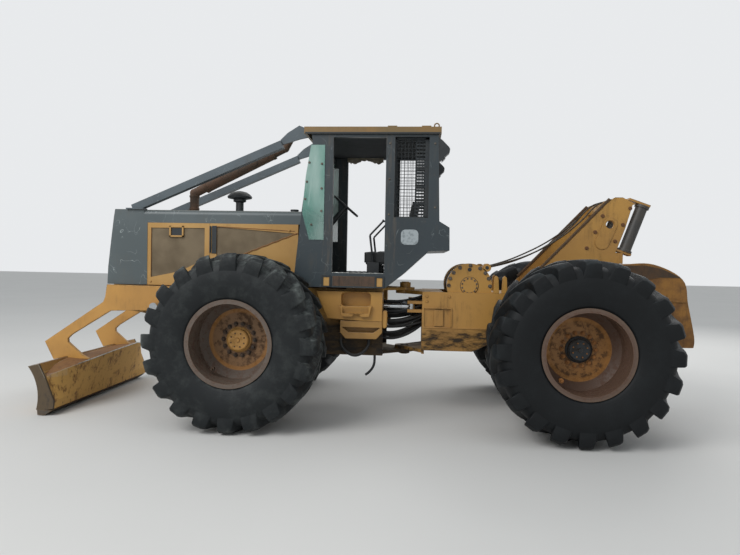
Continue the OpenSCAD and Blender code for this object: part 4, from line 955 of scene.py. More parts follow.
# %% Blade and arms
NOSE_X = FRONT_X - 1.690
ARM_PIVOT = (FRONT_X - 0.380, 1.250)
ARM_YS = (0.520, 0.560)
ARM_BOSS_R = 0.128
LIFT_PIN = (FRONT_X - 1.130, 1.160)
LIFT_PIN_END_Y = 0.6107
ARM_OUTLINE = [
    (ARM_PIVOT[0], 1.378), (NOSE_X - 0.040, 1.395), (NOSE_X - 0.060, 1.250), (NOSE_X - 0.083, 1.194),
    (NOSE_X - 0.780, 0.720), (BLADE_X - 0.166, 0.514), (BLADE_X + 0.001, 0.553), (BLADE_X + 0.012, BLADE_TOP),
    (BLADE_X + 0.268, BLADE_TOP), (NOSE_X - 0.327, 0.576), (NOSE_X - 0.500, 0.722), (NOSE_X - 0.504, 0.761),
    (NOSE_X - 0.454, 0.809), (NOSE_X + 0.004, 1.094), (NOSE_X + 0.300, 1.104), (ARM_PIVOT[0], 1.122),
]


# Stations along the box: place across, then x and z of the back edge of its top, which is bent up at the
# far side
BOX_STATIONS = [(-1.055, 0.058, 0.412), (-0.960, 0.126, 0.447), (-0.860, 0.190, 0.479),
                (-0.740, 0.240, 0.504),
                (-0.600, BLADE_BOX_BACK, 0.523), (0.000, BLADE_BOX_BACK, 0.552),
                (0.600, BLADE_BOX_BACK, 0.572), (0.740, 0.240, 0.552),
                (0.860, 0.190, 0.512), (0.960, 0.126, 0.462), (1.055, 0.058, 0.412)]


def add_loft(mesh, sections):
    """A closed solid through sections that have equally many points."""
    loops = [[mesh.verts.new(p) for p in section] for section in sections]
    for a, b in zip(loops, loops[1:]):
        for k in range(len(a)):
            mesh.faces.new((a[k - 1], a[k], b[k], b[k - 1]))
    mesh.faces.new(loops[0])
    mesh.faces.new(list(reversed(loops[-1])))


def make_blade_box():
    mesh = bmesh.new()
    add_loft(mesh, [[(BLADE_X + 0.020, y, min(z + 0.02, 0.545)), (BLADE_X + x, y, z),
                     (BLADE_X + 0.173, y, 0.159),
                     (BLADE_X + 0.100, y, 0.159)] for y, x, z in BOX_STATIONS])
    edge = bmesh.new()
    add_bead(edge, [(BLADE_X + x - 0.001, y, z) for y, x, z in BOX_STATIONS[3:8]], 0.0055, closed=False)
    piece("blade_bright_edge", edge, "blade_set", "bright_sill")
    return piece("blade_back_box", mesh, "blade_set", "blade_worn", bevel=0.003, smooth=42)


def make_blade_arms():
    mesh = bmesh.new()
    for side in (-1, 1):
        y0, y1 = side * ARM_YS[0], side * ARM_YS[1]
        add_prism(mesh, ARM_OUTLINE, y0, y1)
        for (x, z), start, end, radius, sides in ((ARM_PIVOT, y0, y1 + side * 0.006, ARM_BOSS_R, 40),
                                                  (LIFT_PIN, y1 - side * 0.001, side * LIFT_PIN_END_Y, 0.048,
                                                   24)):
            add_rod(mesh, (x, start, z), (x, end, z), radius, sides)
    return piece("blade_arm_plates", mesh, "blade_set", "arm_yellow", bevel=0.004,
                 replaces=("blade_arms",))


make_blade_box()
make_blade_arms()
print("blade made")

# %% [markdown]
# ## Side boxes and steps
# Under each door a box of pressed sheet has a recess for the boot with round corners. A tread is folded
# from plate below it, with its lip turned up at the ends, and a tray with sloping ends hangs lowest. Plates
# with windows are filled between their loops, as they are cut from one sheet.

# %% Side boxes
def rounded_outline(x0, x1, z0, z1, radius, each=5):
    """Rectangle with round corners, counter-clockwise."""
    corners = [(x1 - radius, z1 - radius), (x0 + radius, z1 - radius), (x0 + radius, z0 + radius),
               (x1 - radius, z0 + radius)]
    angles = [(centre, math.radians(90 * (i + k / each))) for i,
              centre in enumerate(corners) for k in range(each + 1)]
    return [(cx + radius * math.cos(a), cz + radius * math.sin(a)) for (cx, cz), a in angles]


def add_window_plate(mesh, outline, windows, y0, y1):
    """A plate that stands along the machine, with windows cut through it."""
    for y in (y0, y1):
        edges = []
        for loop in [outline] + windows:
            points = [mesh.verts.new((x, y, z)) for x, z in loop]
            edges += [mesh.edges.new((points[i - 1], points[i])) for i in range(len(points))]
        bmesh.ops.triangle_fill(mesh, use_beauty=True, edges=edges)
    for loop in [outline] + windows:
        near = [mesh.verts.new((x, y0, z)) for x, z in loop]
        far = [mesh.verts.new((x, y1, z)) for x, z in loop]
        for i in range(len(loop)):
            mesh.faces.new((near[i - 1], near[i], far[i], far[i - 1]))
    bmesh.ops.remove_doubles(mesh, verts=mesh.verts, dist=0.00001)


BOX_Y, BOX_DEPTH = 0.620, 0.110
FRAME_SIDE_Y = 0.4705
STEP_X = (FRONT_X + 0.982, FRONT_X + 1.306)
FRAME_END_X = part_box("side_boxes")[1].x
BOX_OUTLINE = [(FRONT_X + 0.700, 1.380), (FRONT_X + 0.830, 1.078), (FRONT_X + 1.270, 1.058),
               (FRAME_END_X, 1.058),
               (FRAME_END_X, 1.380)]
STEP_WINDOW = rounded_outline(*STEP_X, 1.216, 1.372, 0.044)
TREAD_REACH = 0.034
TREAD = [(-0.020, 1.226), (-0.008, 1.198), (0.006, 1.120), (0.022, 1.106), (0.126, 1.106), (0.140, 1.124),
         (0.162, 1.136),
         (0.184, 1.136), (0.206, 1.124), (0.220, 1.106), (0.302, 1.106), (0.318, 1.120), (0.332, 1.198),
         (0.344, 1.226),
         (0.328, 1.222), (-0.004, 1.222)]


def make_side_boxes():
    boxes = bmesh.new()
    trays = bmesh.new()
    hang = FRONT_X + 0.974
    for side in (-1, 1):
        out = side * BOX_Y
        add_window_plate(boxes, BOX_OUTLINE, [STEP_WINDOW], out, out - side * BOX_DEPTH)
        add_prism(boxes, BOX_OUTLINE, out - side * 0.1105, side * FRAME_SIDE_Y)
        tread = [(STEP_X[0] + x, z) for x, z in TREAD]
        inner = rounded_outline(STEP_X[0] + 0.020, STEP_X[1] - 0.020, 1.142, 1.214, 0.010, 2)
        add_window_plate(boxes, tread, [inner], out + side * 0.045, out + side * 0.033)
        for bend, thick in ((tread[:3], 0.014), (tread[11:14], -0.014)):
            folded = bend + [(x + thick, z) for x, z in reversed(bend)]
            add_prism(boxes, folded, out + side * TREAD_REACH, out - side * 0.001)
        add_bars(boxes, out, out + side * TREAD_REACH, [(STEP_X[0] + 0.006, STEP_X[1] - 0.006, 1.126, 1.138)])
        window = [(hang + 0.022, 0.986), (FRAME_END_X - 0.022, 0.986), (FRAME_END_X - 0.096, 0.930),
                  (hang + 0.096, 0.930)]
        tray = [(hang, 1.058), (FRAME_END_X, 1.058), (FRAME_END_X, 0.930), (FRAME_END_X - 0.060, 0.862),
                (hang + 0.060, 0.862),
                (hang, 0.930)]
        add_window_plate(trays, tray, [window], out, out - side * 0.050)
        add_prism(trays, tray, out - side * 0.092, out - side * 0.120)
        add_prism(trays, tray[2:] + [(hang + 0.096, 0.930), (FRAME_END_X - 0.096, 0.930)], out - side * 0.049,
                  out - side * 0.093)
    piece("side_box_shells", boxes, "chassis", "frame_yellow", bevel=0.004,
          replaces=("side_boxes",), smooth=28)
    piece("step_trays", trays, "chassis", "step_brown", bevel=0.004, smooth=28)


make_side_boxes()
print("side boxes made")

# %% [markdown]
# ## Frames
# Between the two frames the hydraulic hoses cross the articulation in slack bends, so that they can swing
# with it. Round-cornered pads on the front frame stop the swing, and a narrow shelf covers the step in the
# rear frame's side. The hoses are fixed in place and ride on neither body.

# %% Hoses across the articulation
def hose_across(name, route, radius):
    """A hose across the gap between the two frames, fixed in place."""
    hose = curve_tube(name, route, radius)
    wear(hose, "hose_rubber")
    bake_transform(hose)


# Of each hose: place across, height at the front frame and at the rear frame, drop of its slack, radius
ACROSS = [(-0.285, 1.335, 1.330, 0.07, 0.015), (-0.250, 1.270, 1.290, 0.16, 0.015),
          (-0.215, 1.130, 1.150, 0.12, 0.018),
          (-0.180, 1.050, 1.080, 0.17, 0.015), (-0.145, 1.320, 1.310, 0.20, 0.018),
          (-0.330, 1.200, 1.230, 0.06, 0.015),
          (-0.262, 1.225, 1.190, 0.06, 0.018), (-0.295, 1.150, 1.120, 0.09, 0.018),
          (-0.270, 1.060, 1.090, 0.10, 0.015),
          (-0.105, 1.240, 1.240, 0.16, 0.018), (-0.065, 1.110, 1.130, 0.10, 0.020),
          (0.180, 1.300, 1.290, 0.14, 0.015),
          (0.220, 1.110, 1.120, 0.16, 0.018), (0.140, 1.190, 1.220, 0.10, 0.020),
          (0.260, 1.220, 1.200, 0.08, 0.018),
          (0.100, 1.270, 1.280, 0.12, 0.020), (0.060, 1.130, 1.150, 0.08, 0.020),
          (-0.010, 1.200, 1.190, 0.10, 0.020),
          (-0.235, 1.000, 1.030, 0.05, 0.015), (0.020, 1.040, 1.060, 0.06, 0.018),
          (0.262, 1.150, 1.160, 0.06, 0.018),
          (-0.190, 0.980, 1.000, 0.16, 0.018), (-0.120, 1.000, 1.010, 0.13, 0.018),
          (-0.040, 1.030, 1.040, 0.19, 0.018),
          (0.120, 0.990, 1.010, 0.15, 0.018)]
for i, (y, front_z, rear_z, drop, radius) in enumerate(ACROSS):
    route = []
    for k in range(13):
        share = k / 12
        sag = drop * (1 - (2 * share - 1) ** 2)
        route.append((0.026 + 0.724 * share, y + 0.012 * math.sin(share * 7 + i),
                      front_z + (rear_z - front_z) * share - sag))
    hose_across("frame_hose_" + str(i + 1), route, radius)


def make_frame_pads():
    pads = bmesh.new()
    shelves = bmesh.new()
    for side in (-1, 1):
        outline = rounded_outline(FRAME_END_X + 0.0003, FRAME_END_X + 0.052, 0.984, 1.176, 0.024)
        add_prism(pads, outline, side * 0.600, side * 0.4703)
        add_bars(shelves, side * 0.484, side * 0.4695,
                 [(0.770, 1.076, 1.204, 1.218), (1.066, 1.080, 1.000, 1.204)])
        add_bars(shelves, side * 0.478, side * 0.4695,
                 [(0.880, 0.985, 1.010, 1.190), (0.752, 1.800, 0.985, 0.998)])
        for x, z in ((0.800, 1.285), (0.800, 1.340), (1.046, 1.340)):
            add_bolt(shelves, (x, side * 0.470, z), (0, side, 0), 0.024, 0.014)
    piece("stop_pads", pads, "chassis", "frame_yellow", bevel=0.004)
    piece("step_shelves", shelves, "rear_chassis", "rear_frame_yellow", bevel=0.002)


make_frame_pads()
print(len(ACROSS), "hoses cross the articulation")

# %% [markdown]
# ## Winch and arch
# The fittings stand on the outer faces of the winch case and the arch. An arc helper places what lies on a
# circle.

# %% Faces and arcs
CASE_FACE_Y = 0.4397
ARCH_FACE_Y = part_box("arch")[1].y
ARCH_EYE = (2.756, 2.160)
PAD_END = (2.678, 1.968)
ARCH_BOLTS = [(2.677, 2.253), (2.893, 2.160), (2.602, 2.077), (2.814, 1.981), (2.517, 1.902), (2.964, 2.338)]


def arc(centre, radius, low, high, count):
    """Points along an arc, its angles in degrees."""
    angles = [math.radians(low + (high - low) * k / count) for k in range(count + 1)]
    return [(centre[0] + radius * math.cos(a), centre[1] + radius * math.sin(a)) for a in angles]


print("winch case face", CASE_FACE_Y, "arch face", round(ARCH_FACE_Y, 3))

# %% [markdown]
# The butt plate is one bent sheet between two sides. Its back is a smooth curve through a few places, rounded
# over the top and slanting down behind the axle. A dark wear plate lies on its upper corner. Dark bars along
# the arch plates' front edges are made with it; they are painted shade, for the inside of the arch in shadow.

# %% Butt plate
BUTT_Y, BUTT_IN_Y, WEAR_Y = 0.620, 0.5955, 0.626
SHEET_FROM = 4
BUTT_BACK = [(2.700, 1.700), (2.874, 1.727), (3.167, 1.731), (3.462, 1.579), (3.524, 1.317), (3.594, 0.981),
             (3.590, 0.867)]
BUTT_FRONT = [(3.493, 0.864), (3.166, 0.930), (2.986, 1.120), (2.700, 1.300)]
# Dark wear plate on its upper corner, and the line of painted shade along the arch plates' front edge
WEAR_PLATE = [(2.872, 1.722), (3.083, 1.724), (3.250, 1.692), (3.340, 1.652), (3.445, 1.600), (3.230, 1.600),
              (3.066, 1.571), (2.872, 1.575)]
ARCH_EDGE_SHADE = [(1.945, 1.562), (2.058, 1.677), (2.616, 2.273), (2.765, 2.431)]


def smooth_line(places, steps=6):
    """Points on a smooth curve through the given places (Catmull-Rom)."""
    ends = [places[0], *places, places[-1]]
    line = []
    for a, b, c, d in zip(ends, ends[1:], ends[2:], ends[3:]):
        for k in range(steps):
            t = k / steps
            line.append(tuple(
                b[i] + 0.5 * t * (c[i] - a[i] + t * (2 * a[i] - 5 * b[i] + 4 * c[i] - d[i]
                                                     + t * (3 * (b[i] - c[i]) + d[i] - a[i])))
                for i in range(2)))
    return line + [places[-1]]


def set_in(line, depth):
    """The line moved inwards by a depth, to the right of its way."""
    moved = []
    for a, b, c in zip([line[0], *line], line, [*line[1:], line[-1]]):
        way = (Vector(c) - Vector(a)).normalized()
        moved.append((b[0] + way.y * depth, b[1] - way.x * depth))
    return moved


def make_butt_shell():
    mesh, dark = bmesh.new(), bmesh.new()
    back = smooth_line(BUTT_BACK)
    inner = set_in(back[SHEET_FROM:], 0.024)
    for side in (-1, 1):
        add_prism(mesh, back + BUTT_FRONT, side * BUTT_Y, side * BUTT_IN_Y)
        add_bars(mesh, side * 0.596, side * FRAME_SIDE_Y, [(2.840, 2.980, 1.180, 1.360)])
        add_bars(mesh, side * 0.634, side * 0.6195, [(3.262, 3.492, 1.345, 1.362)])
        add_bead(mesh, [(x, side * 0.612, z) for x, z in back], 0.006, closed=False)
        add_prism(dark, WEAR_PLATE, side * WEAR_Y, side * 0.6202)
        # Painted shade: a dark bar just inside each arch plate's front edge, where the arch's inside lies in
        # shadow
        add_bead(dark, [(x - 0.010, side * (ARCH_FACE_Y - 0.030), z + 0.008) for x, z in ARCH_EDGE_SHADE], 0.018,
                 closed=False)
    for k in range(len(inner) - 1):
        add_prism(mesh, [back[k + SHEET_FROM], back[k + SHEET_FROM + 1], inner[k + 1], inner[k]], -BUTT_IN_Y,
                  BUTT_IN_Y)
    piece("dark_edges", dark, "rear_chassis", "butt_dark", smooth=30)
    return piece("butt_shell", mesh, "rear_chassis", "butt_rust", smooth=30,
                 replaces=("butt_plate",))


make_butt_shell()
print("butt plate made")

# %% [markdown]
# The gear case of the winch is closed by a cover with a ring of bolts, and the drum's bearing cap has its
# own smaller ring. Behind the case each side has an ear with an oil plug, and two brackets.

# %% Winch fittings
COVER_BOLTS = (0, 22, 40, 60, 88, 118, 141, 160, 180)
COVER_BOLTS_R = 0.226
CAP_R, CAP_RING_R, CAP_BOLTS_R = 0.096, 0.1015, 0.080


def make_winch_fittings():
    bolts = bmesh.new()
    ears = bmesh.new()
    dark = bmesh.new()
    drum = (DRUM.x, DRUM.z)
    for side in (-1, 1):
        face = side * CASE_FACE_Y
        for degrees in COVER_BOLTS:
            x, z = arc(drum, COVER_BOLTS_R, degrees, degrees, 1)[0]
            add_bolt(bolts, (x, face, z), (0, side, 0), 0.030, 0.016)
        add_rod(ears, (DRUM.x, face - side * 0.002, DRUM.z), (DRUM.x, face + side * 0.011, DRUM.z), CAP_R, 48)
        for x, z in arc(drum, CAP_BOLTS_R, 15, 345, 11):
            add_bolt(bolts, (x, face + side * 0.010, z), (0, side, 0), 0.015, 0.009)
        add_rod(dark, (DRUM.x, face - side * 0.002, DRUM.z), (DRUM.x, face + side * 0.004, DRUM.z),
                CAP_RING_R, 48)
        add_rod(dark, (DRUM.x, face - side * 0.004, DRUM.z + 0.180),
                (DRUM.x, face + side * 0.002, DRUM.z + 0.180), 0.022, 20)
        # Ear with an oil plug, and the brackets behind the case
        ear = (DRUM.x + 0.190, DRUM.z + 0.204)
        add_rod(ears, (ear[0], side * 0.292, ear[1]), (ear[0], face, ear[1]), 0.046, 32)
        add_rod(dark, (ear[0], face - side * 0.004, ear[1]), (ear[0], face + side * 0.002, ear[1]), 0.020, 20)
        for x in (DRUM.x + 0.262, DRUM.x + 0.352):
            add_prism(ears, [(x, 1.3882), (x + 0.062, 1.3882), (x + 0.052, 1.560), (x + 0.030, 1.582),
                             (x + 0.008, 1.560)],
                      face - side * 0.010, side * 0.4695)
    piece("winch_bolts", bolts, "rear_chassis", "worn_steel", bevel=0.0012)
    piece("winch_ears", ears, "rear_chassis", "frame_yellow", bevel=0.003)
    piece("winch_plugs", dark, "rear_chassis", "guard_steel", bevel=0.001)


make_winch_fittings()
print("winch fittings made")

# %% [markdown]
# The arch plates carry bolts and an obround pad welded round the eye.

# %% Arch fittings
PAD_R, PAD_BEAD_R, EYE_R = 0.074, 0.077, 0.048


def make_arch_fittings():
    bolts = bmesh.new()
    pads = bmesh.new()
    lean = math.degrees(math.atan2(ARCH_EYE[1] - PAD_END[1], ARCH_EYE[0] - PAD_END[0]))
    outline, bead = (arc(ARCH_EYE, radius, lean - 90, lean + 90, 14)
                     + arc(PAD_END, radius, lean + 90, lean + 270, 14) for radius in (PAD_R, PAD_BEAD_R))
    for side in (-1, 1):
        face = side * ARCH_FACE_Y
        for x, z in ARCH_BOLTS:
            add_bolt(bolts, (x, face, z), (0, side, 0), 0.030, 0.014)
        add_window_plate(pads, outline, [arc(ARCH_EYE, EYE_R, 0, 345, 23)], face + side * 0.008, face)
        add_bead(pads, [(x, face + side * 0.001, z) for x, z in bead], 0.0055)
    piece("arch_bolts", bolts, "rear_chassis", "bolt_rust", bevel=0.0012)
    piece("arch_pads", pads, "rear_chassis", "frame_yellow")


make_arch_fittings()
print("arch fittings made")

# %% [markdown]
# Three wire ropes run from the drum up to the arch's top. They are tight rigging, so each follows one curve.

# %% Winch ropes
ROPE_R = 0.0085
# Of each rope: place across, and its line in x and z
ROPE_LINES = [
    (0.16, [(1.33, 1.645), (1.62, 1.690), (1.95, 1.800), (2.28, 1.985), (2.52, 2.190), (2.70, 2.395),
            (2.79, 2.447)]),
    (0.02, [(1.30, 1.648), (1.60, 1.712), (1.95, 1.850), (2.28, 2.040), (2.52, 2.235), (2.70, 2.410),
            (2.80, 2.449)]),
    (-0.14, [(1.34, 1.644), (1.66, 1.722), (1.98, 1.835), (2.30, 2.020), (2.54, 2.225), (2.72, 2.412),
             (2.81, 2.449)]),
]


def make_ropes():
    for i, (y, places) in enumerate(ROPE_LINES):
        rope = curve_tube("winch_rope_" + str(i + 1), [(x, y, z) for x, z in places], ROPE_R)
        wear(rope, "wire_rope")
        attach(rope, "rear_chassis")


make_ropes()
print(len(ROPE_LINES), "ropes made")

# %% [markdown]
# ## Cab
# The green side glass is held by bolts along both edges. A bare rounded plate sits behind the door, a worn
# aluminium sill crosses the doorway with a rusty plate under it, and the cab stands on rubber mounts in
# dark frames.

# %% Cab fittings
GLASS_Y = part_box("cab_glass")[1].y
OUT_Y = -CAB_Y
QUARTER_BOLTS = [(-0.500, 2.771), (-0.525, 2.563), (-0.541, 2.377), (-0.470, 2.100), (-0.362, 2.758),
                 (-0.362, 2.493),
                 (-0.362, 2.249)]
WINDOW_BOLTS = [(0.370, 2.98), (0.370, 2.60), (0.370, 2.22), (0.850, 2.98), (0.862, 2.30)]


def make_cab_fittings():
    bolts, sills, under, feet, frames = (bmesh.new() for _ in range(5))
    for side in (-1, 1):
        face = side * OUT_Y
        for x, z in QUARTER_BOLTS:
            add_bolt(bolts, (x, side * GLASS_Y, z), (0, side, 0), 0.018, 0.010)
        for x, z in WINDOW_BOLTS:
            add_bolt(bolts, (x, face, z), (0, side, 0), 0.016, 0.008)
        add_bars(sills, face + side * 0.002, face - side * 0.050, [(-0.235, 0.325, 1.582, 1.587)])
        add_bars(sills, face - side * 0.008, face - side * 0.042,
                 [(-0.205 + i * 0.062, -0.175 + i * 0.062, 1.586, 1.590) for i in range(8)])
        add_bars(under, face + side * 0.003, face - side * 0.002, [(-0.226, 0.240, 1.442, 1.548)])
        for x0, x1 in ((-0.327, -0.262), (0.252, 0.316)):
            add_bars(feet, face + side * 0.006, face - side * 0.002, [(x0, x1, 1.440, 1.535)])
            add_window_plate(frames, rounded_outline(x0 - 0.020, x1 + 0.020, 1.427, 1.556, 0.008, 2),
                             [rounded_outline(x0, x1, 1.440, 1.535, 0.004, 2)], face + side * 0.012,
                             face - side * 0.001)
    piece("cab_bolts", bolts, "chassis", "worn_steel", bevel=0.001)
    piece("door_sills", sills, "chassis", "bright_sill", bevel=0.001)
    piece("sill_plates", under, "chassis", "floor_steel", bevel=0.001)
    piece("cab_feet", feet, "chassis", "panel_yellow", bevel=0.002)
    piece("foot_frames", frames, "chassis", "guard_steel", bevel=0.001)
    plate = bmesh.new()
    add_prism(plate, rounded_outline(0.505, 0.692, 1.898, 2.062, 0.050), CAB_Y - 0.004, CAB_Y + 0.001)
    piece("blank_plate", plate, "chassis", "bare_plate", bevel=0.001)


make_cab_fittings()
print("cab fittings made")

# %% [markdown]
# Levers beside the seat, the lining under the roof and a torn visor show through the open doorway.

# %% Cab inside
def torn_sheet(name, x0, x1, y, top, drop, tear, material):
    """A thin sheet that hangs with a ragged lower edge and shallow waves."""
    mesh = bmesh.new()
    columns, rows = 30, 4
    grid = []
    for i in range(columns + 1):
        length = drop + tear * math.sin(i * 0.31) + random.uniform(-tear, tear) / 2
        grid.append([mesh.verts.new((x0 + (x1 - x0) * i / columns, y + 0.010 * math.sin(i * 0.7 + k),
                                     top - length * k / rows))
                     for k in range(rows + 1)])
    for a, b in zip(grid, grid[1:]):
        for k in range(rows):
            mesh.faces.new((a[k], a[k + 1], b[k + 1], b[k]))
    bmesh.ops.solidify(mesh, geom=mesh.faces[:], thickness=0.002)
    return piece(name, mesh, "chassis", material)


def make_cab_inside():
    """The lining under the roof, and a lever on its console at each side of the seat."""
    lining = bmesh.new()
    inner = OUT_Y - 0.052
    add_box(lining, (-0.440, -inner, ROOF_LOW.z - 0.028), (0.800, inner, ROOF_LOW.z - 0.003))
    piece("roof_lining", lining, "chassis", "headliner", bevel=0.006)
    levers = bmesh.new()
    for side in (-1, 1):
        add_rod(levers, (0.139, side * 0.300, 2.015), (0.287, side * 0.300, 2.175), 0.011, 16)
        add_rod(levers, (0.287, side * 0.300, 2.175), (0.300, side * 0.300, 2.189), 0.019, 16, 0.015)
        add_rod(levers, (0.139, side * 0.300, 2.015), (0.180, side * 0.290, 1.700), 0.012, 16)
        add_box(levers, (0.110, side * 0.290 - 0.030, 1.4652), (0.250, side * 0.290 + 0.030, 1.705))
    piece("levers", levers, "chassis", "black_plastic", bevel=0.003)


make_cab_inside()
torn_sheet("torn_visor", -0.245, 0.225, 0.600, ROOF_LOW.z - 0.004, 0.075, 0.022, "pale_cloth")
print("cab inside made")

# %% [markdown]
# The work lamps at the rear get dark lenses, the upper ones in a rim.

# %% Lamp lenses
def make_lamp_lenses():
    lenses = bmesh.new()
    rims = bmesh.new()
    for side in (-1, 1):
        y0, y1 = side * 0.690, side * 0.586
        add_prism(lenses, [(0.917, 3.021), (0.994, 2.943), (1.000, 2.949), (0.923, 3.027)], y0 - side * 0.008,
                  y1 + side * 0.008)
        add_prism(rims, [(0.905, 3.030), (1.004, 2.930), (1.0085, 2.9345), (0.9095, 3.0345)], y0, y1)
        add_prism(lenses, [(0.922, 2.800), (0.958, 2.838), (0.964, 2.832), (0.928, 2.794)], y0 - side * 0.010,
                  y1 + side * 0.010)
    piece("lamp_lenses", lenses, "chassis", "dark_lens", bevel=0.002)
    piece("lamp_rims", rims, "chassis", "guard_steel", bevel=0.002)


make_lamp_lenses()
print("lamp lenses made")

# %% [markdown]
# ## Hood and exhaust
# Band clamps hold the muffler, which leans back from its foot on the hood.

# %% Exhaust clamps
EXHAUST_Y = -0.250
EXHAUST_FOOT = Vector((FRONT_X - 0.830, EXHAUST_Y, 2.480))
EXHAUST_RISE = math.radians(26.5)


def make_exhaust_clamps():
    mesh = bmesh.new()
    way = Vector((math.cos(EXHAUST_RISE), 0, math.sin(EXHAUST_RISE)))
    up = Vector((-way.z, 0, way.x))
    turn = Matrix((way, way.cross(up), up)).transposed().to_4x4()
    for distance in (0.165, 1.045):
        at = EXHAUST_FOOT + distance * way
        add_rod(mesh, at - way * 0.016, at + way * 0.016, 0.0705, 40)
        block = Matrix.Translation(at + up * 0.080) @ turn @ Matrix.Diagonal((0.030, 0.020, 0.034, 1))
        bmesh.ops.create_cube(mesh, size=1, matrix=block)
        add_rod(mesh, at + up * 0.086 + Vector((0, -0.036, 0)), at + up * 0.086 + Vector((0, 0.036, 0)),
                0.007, 8)
    for z in (2.285, 2.430):
        add_rod(mesh, (EXHAUST_FOOT.x, EXHAUST_Y, z), (EXHAUST_FOOT.x, EXHAUST_Y, z + 0.022), 0.0585, 40)
    add_rod(mesh, (EXHAUST_FOOT.x, EXHAUST_Y, HOOD_HIGH.z), (EXHAUST_FOOT.x, EXHAUST_Y, HOOD_HIGH.z + 0.012),
            0.095, 40)
    return piece("exhaust_clamps", mesh, "chassis", "exhaust_steel", bevel=0.002)


make_exhaust_clamps()
print("exhaust clamps made")

# %% [markdown]
# Latches sit in the front panel, and the rear panel hangs on a dark strip hinge. The radiator guard's flange
# laps over the panels, and weld beads run along both screened fields.

# %% Panel fittings
FLANGE_Z, BORDER_Z = (1.402, 2.112), (1.470, 2.072)
BEAD_POINTS = 17


def make_panel_fittings():
    latches = bmesh.new()
    dark = bmesh.new()
    x0, x1, z0, z1, rim = -2.141, -1.975, 1.952, 2.080, 0.018
    for side in (-1, 1):
        face = side * -PANEL_Y
        # Square latch frame with an open middle, then the hinge of the rear panel
        add_bars(latches, face - side * 0.011, face + side * 0.012, [
            (x0, x1, z0, z0 + rim), (x0, x1, z1 - rim, z1), (x0, x0 + rim, z0, z1), (x1 - rim, x1, z0, z1)])
        add_bars(dark, face - side * 0.008, face - side * 0.002, [(x0 + rim, x1 - rim, z0 + rim, z1 - rim)])
        add_bars(dark, face - side * 0.001, face + side * 0.006, [(-1.645, -1.590, 1.770, 2.085)])
        add_rod(dark, (-1.662, face + side * 0.006, 1.780), (-1.662, face + side * 0.006, 2.080), 0.010, 10)
        add_bolt(latches, (-0.757, face, 2.043), (0, side, 0), 0.024, 0.012)
        for x in (-2.36, -1.78, -1.45, -0.72):
            add_bolt(latches, (x, face, 1.440), (0, side, 0), 0.018, 0.010)
    piece("panel_latches", latches, "chassis", "panel_yellow", bevel=0.002)
    piece("panel_hinges", dark, "chassis", "guard_steel", bevel=0.002)


def make_panel_borders():
    """The guard's flange over the panels, the front field's border, and the beads on both fields."""
    flanges, borders, beads = bmesh.new(), bmesh.new(), bmesh.new()
    x0 = GUARD_X1
    for side in (-1, 1):
        face = side * -PANEL_Y
        add_bars(flanges, face - side * 0.001, face + side * 0.004, [(x0 - 0.004, x0 + 0.044, *FLANGE_Z)])
        add_bars(borders, face - side * 0.0075, face - side * 0.0002, [(x0 + 0.030, x0 + 0.086, *BORDER_Z)])
        add_bead(beads, [(SPLIT_X + 0.062, face, 2.078), (HOOD_X1 - 0.075, face, 2.036)], 0.005, closed=False)
        route = [(HOOD_X1 - 0.038 - 0.058 * k, 2.012 - 0.0232 * k) for k in range(BEAD_POINTS)]
        add_bead(beads, [(x, face, z + 0.006 * (k % 2)) for k, (x, z) in enumerate(route)], 0.008,
                 closed=False)
        add_bead(beads, [(x0 + 0.087, face - side * 0.002, 1.500), (x0 + 0.087, face - side * 0.002, 2.060)],
                 0.004, closed=False)
    piece("guard_flanges", flanges, "chassis", "guard_grey", bevel=0.001)
    piece("panel_borders", borders, "chassis", "panel_yellow")
    piece("panel_beads", beads, "chassis", "bead_rust")


make_panel_fittings()
make_panel_borders()
print("panel fittings made")

# %% [markdown]
# A small cap closes a filler at the back of the hood, and the roof has lifting eyes and folded edges.

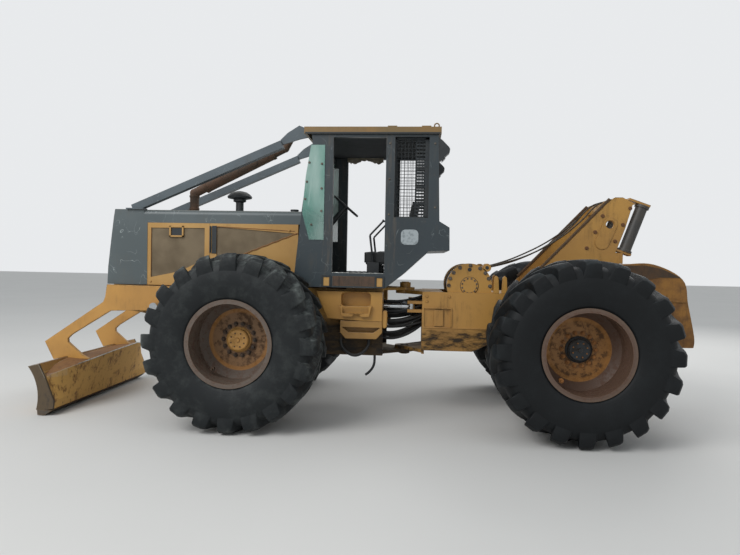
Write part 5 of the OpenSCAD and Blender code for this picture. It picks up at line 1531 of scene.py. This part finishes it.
# %% Hood and roof fittings
def make_top_fittings():
    cap = bmesh.new()
    at = Vector((-0.740, -0.300, HOOD_HIGH.z))
    add_rod(cap, at - Vector((0, 0, 0.004)), at + Vector((0, 0, 0.022)), 0.045, 24)
    add_rod(cap, at + Vector((0, 0, 0.022)), at + Vector((0, 0, 0.034)), 0.052, 24, 0.046)
    piece("filler_cap", cap, "chassis", "black_plastic", bevel=0.003)
    blocks = bmesh.new()
    seam = bmesh.new()
    edge = ROOF_HIGH.y
    for side in (-1, 1):
        for x in (0.342, 0.705):
            add_bars(blocks, side * 0.660, side * 0.720,
                     [(x, x + 0.100, ROOF_HIGH.z - 0.001, ROOF_HIGH.z + 0.012)])
        # Lifting eye at the rear corner
        eye = (0.864, ROOF_HIGH.z + 0.016)
        add_bead(blocks, [(x, side * 0.690, z) for x, z in arc(eye, 0.026, 0, 330, 11)], 0.008)
        add_bars(seam, side * (edge - 0.002), side * (edge + 0.002),
                 [(ROOF_LOW.x + 0.01, ROOF_HIGH.x - 0.01, ROOF_LOW.z - 0.004, ROOF_LOW.z + 0.014)])
    piece("roof_blocks", blocks, "chassis", "roof_yellow", bevel=0.002)
    piece("roof_seams", seam, "chassis", "guard_steel", bevel=0.001)


make_top_fittings()
print("hood and roof fittings made")

# %% [markdown]
# ## Stage
# A pale floor takes the shadow, and the world is an even soft sky that reads as plain paper in the
# background. One broad lamp high on the camera's side and a weaker one behind give the forms their shade.

# %% Floor, world and lamps
def make_stage():
    mesh = bmesh.new()
    bmesh.ops.create_grid(mesh, x_segments=1, y_segments=1, size=60)
    data = bpy.data.meshes.new("floor")
    mesh.to_mesh(data)
    floor = bpy.data.objects.new("floor", data)
    floor.location.z = cad_low.z - 0.0005
    bpy.context.scene.collection.objects.link(floor)
    material, node, shader, place = new_material("floor", 0.9)
    put(shader["Base Color"], node("Mix", node("TexNoise", place, Scale=0.4, Detail=3), "#d4d3d0", "#dcdbd8",
                                   **BLEND))
    data.materials.append(material)


def make_world():
    world = bpy.data.worlds.new("sky")
    bpy.context.scene.world = world
    world.use_nodes = True
    node = partial(add, world.node_tree)
    light = node("Background", "#e9eef2", 0.62)
    backdrop = node("Background", "#f1f3f5", 0.92)
    path = node("LightPath").node.outputs
    seen = node("Math", path["Is Camera Ray"], path["Is Glossy Ray"], **MOST)
    seen = node("Math", seen, path["Is Transmission Ray"], **MOST)
    put(world.node_tree.nodes["World Output"].inputs["Surface"], node("MixShader", seen, light, backdrop))


def add_lamp(name, at, size, power):
    lamp = bpy.data.objects.new(name, bpy.data.lights.new(name, "AREA"))
    lamp.data.size = size
    lamp.data.energy = power
    lamp.location = at
    lamp.rotation_mode = "QUATERNION"
    lamp.rotation_quaternion = (Vector((0, 0, 1.2)) - Vector(at)).to_track_quat("-Z", "Y")
    bpy.context.scene.collection.objects.link(lamp)


make_stage()
make_world()
add_lamp("key_lamp", (-6.5, -9.0, 9.5), 7, 950)
add_lamp("rim_lamp", (6.0, 8.0, 8.0), 6, 420)
bpy.context.scene.view_settings.view_transform = "Standard"
print("stage ready")
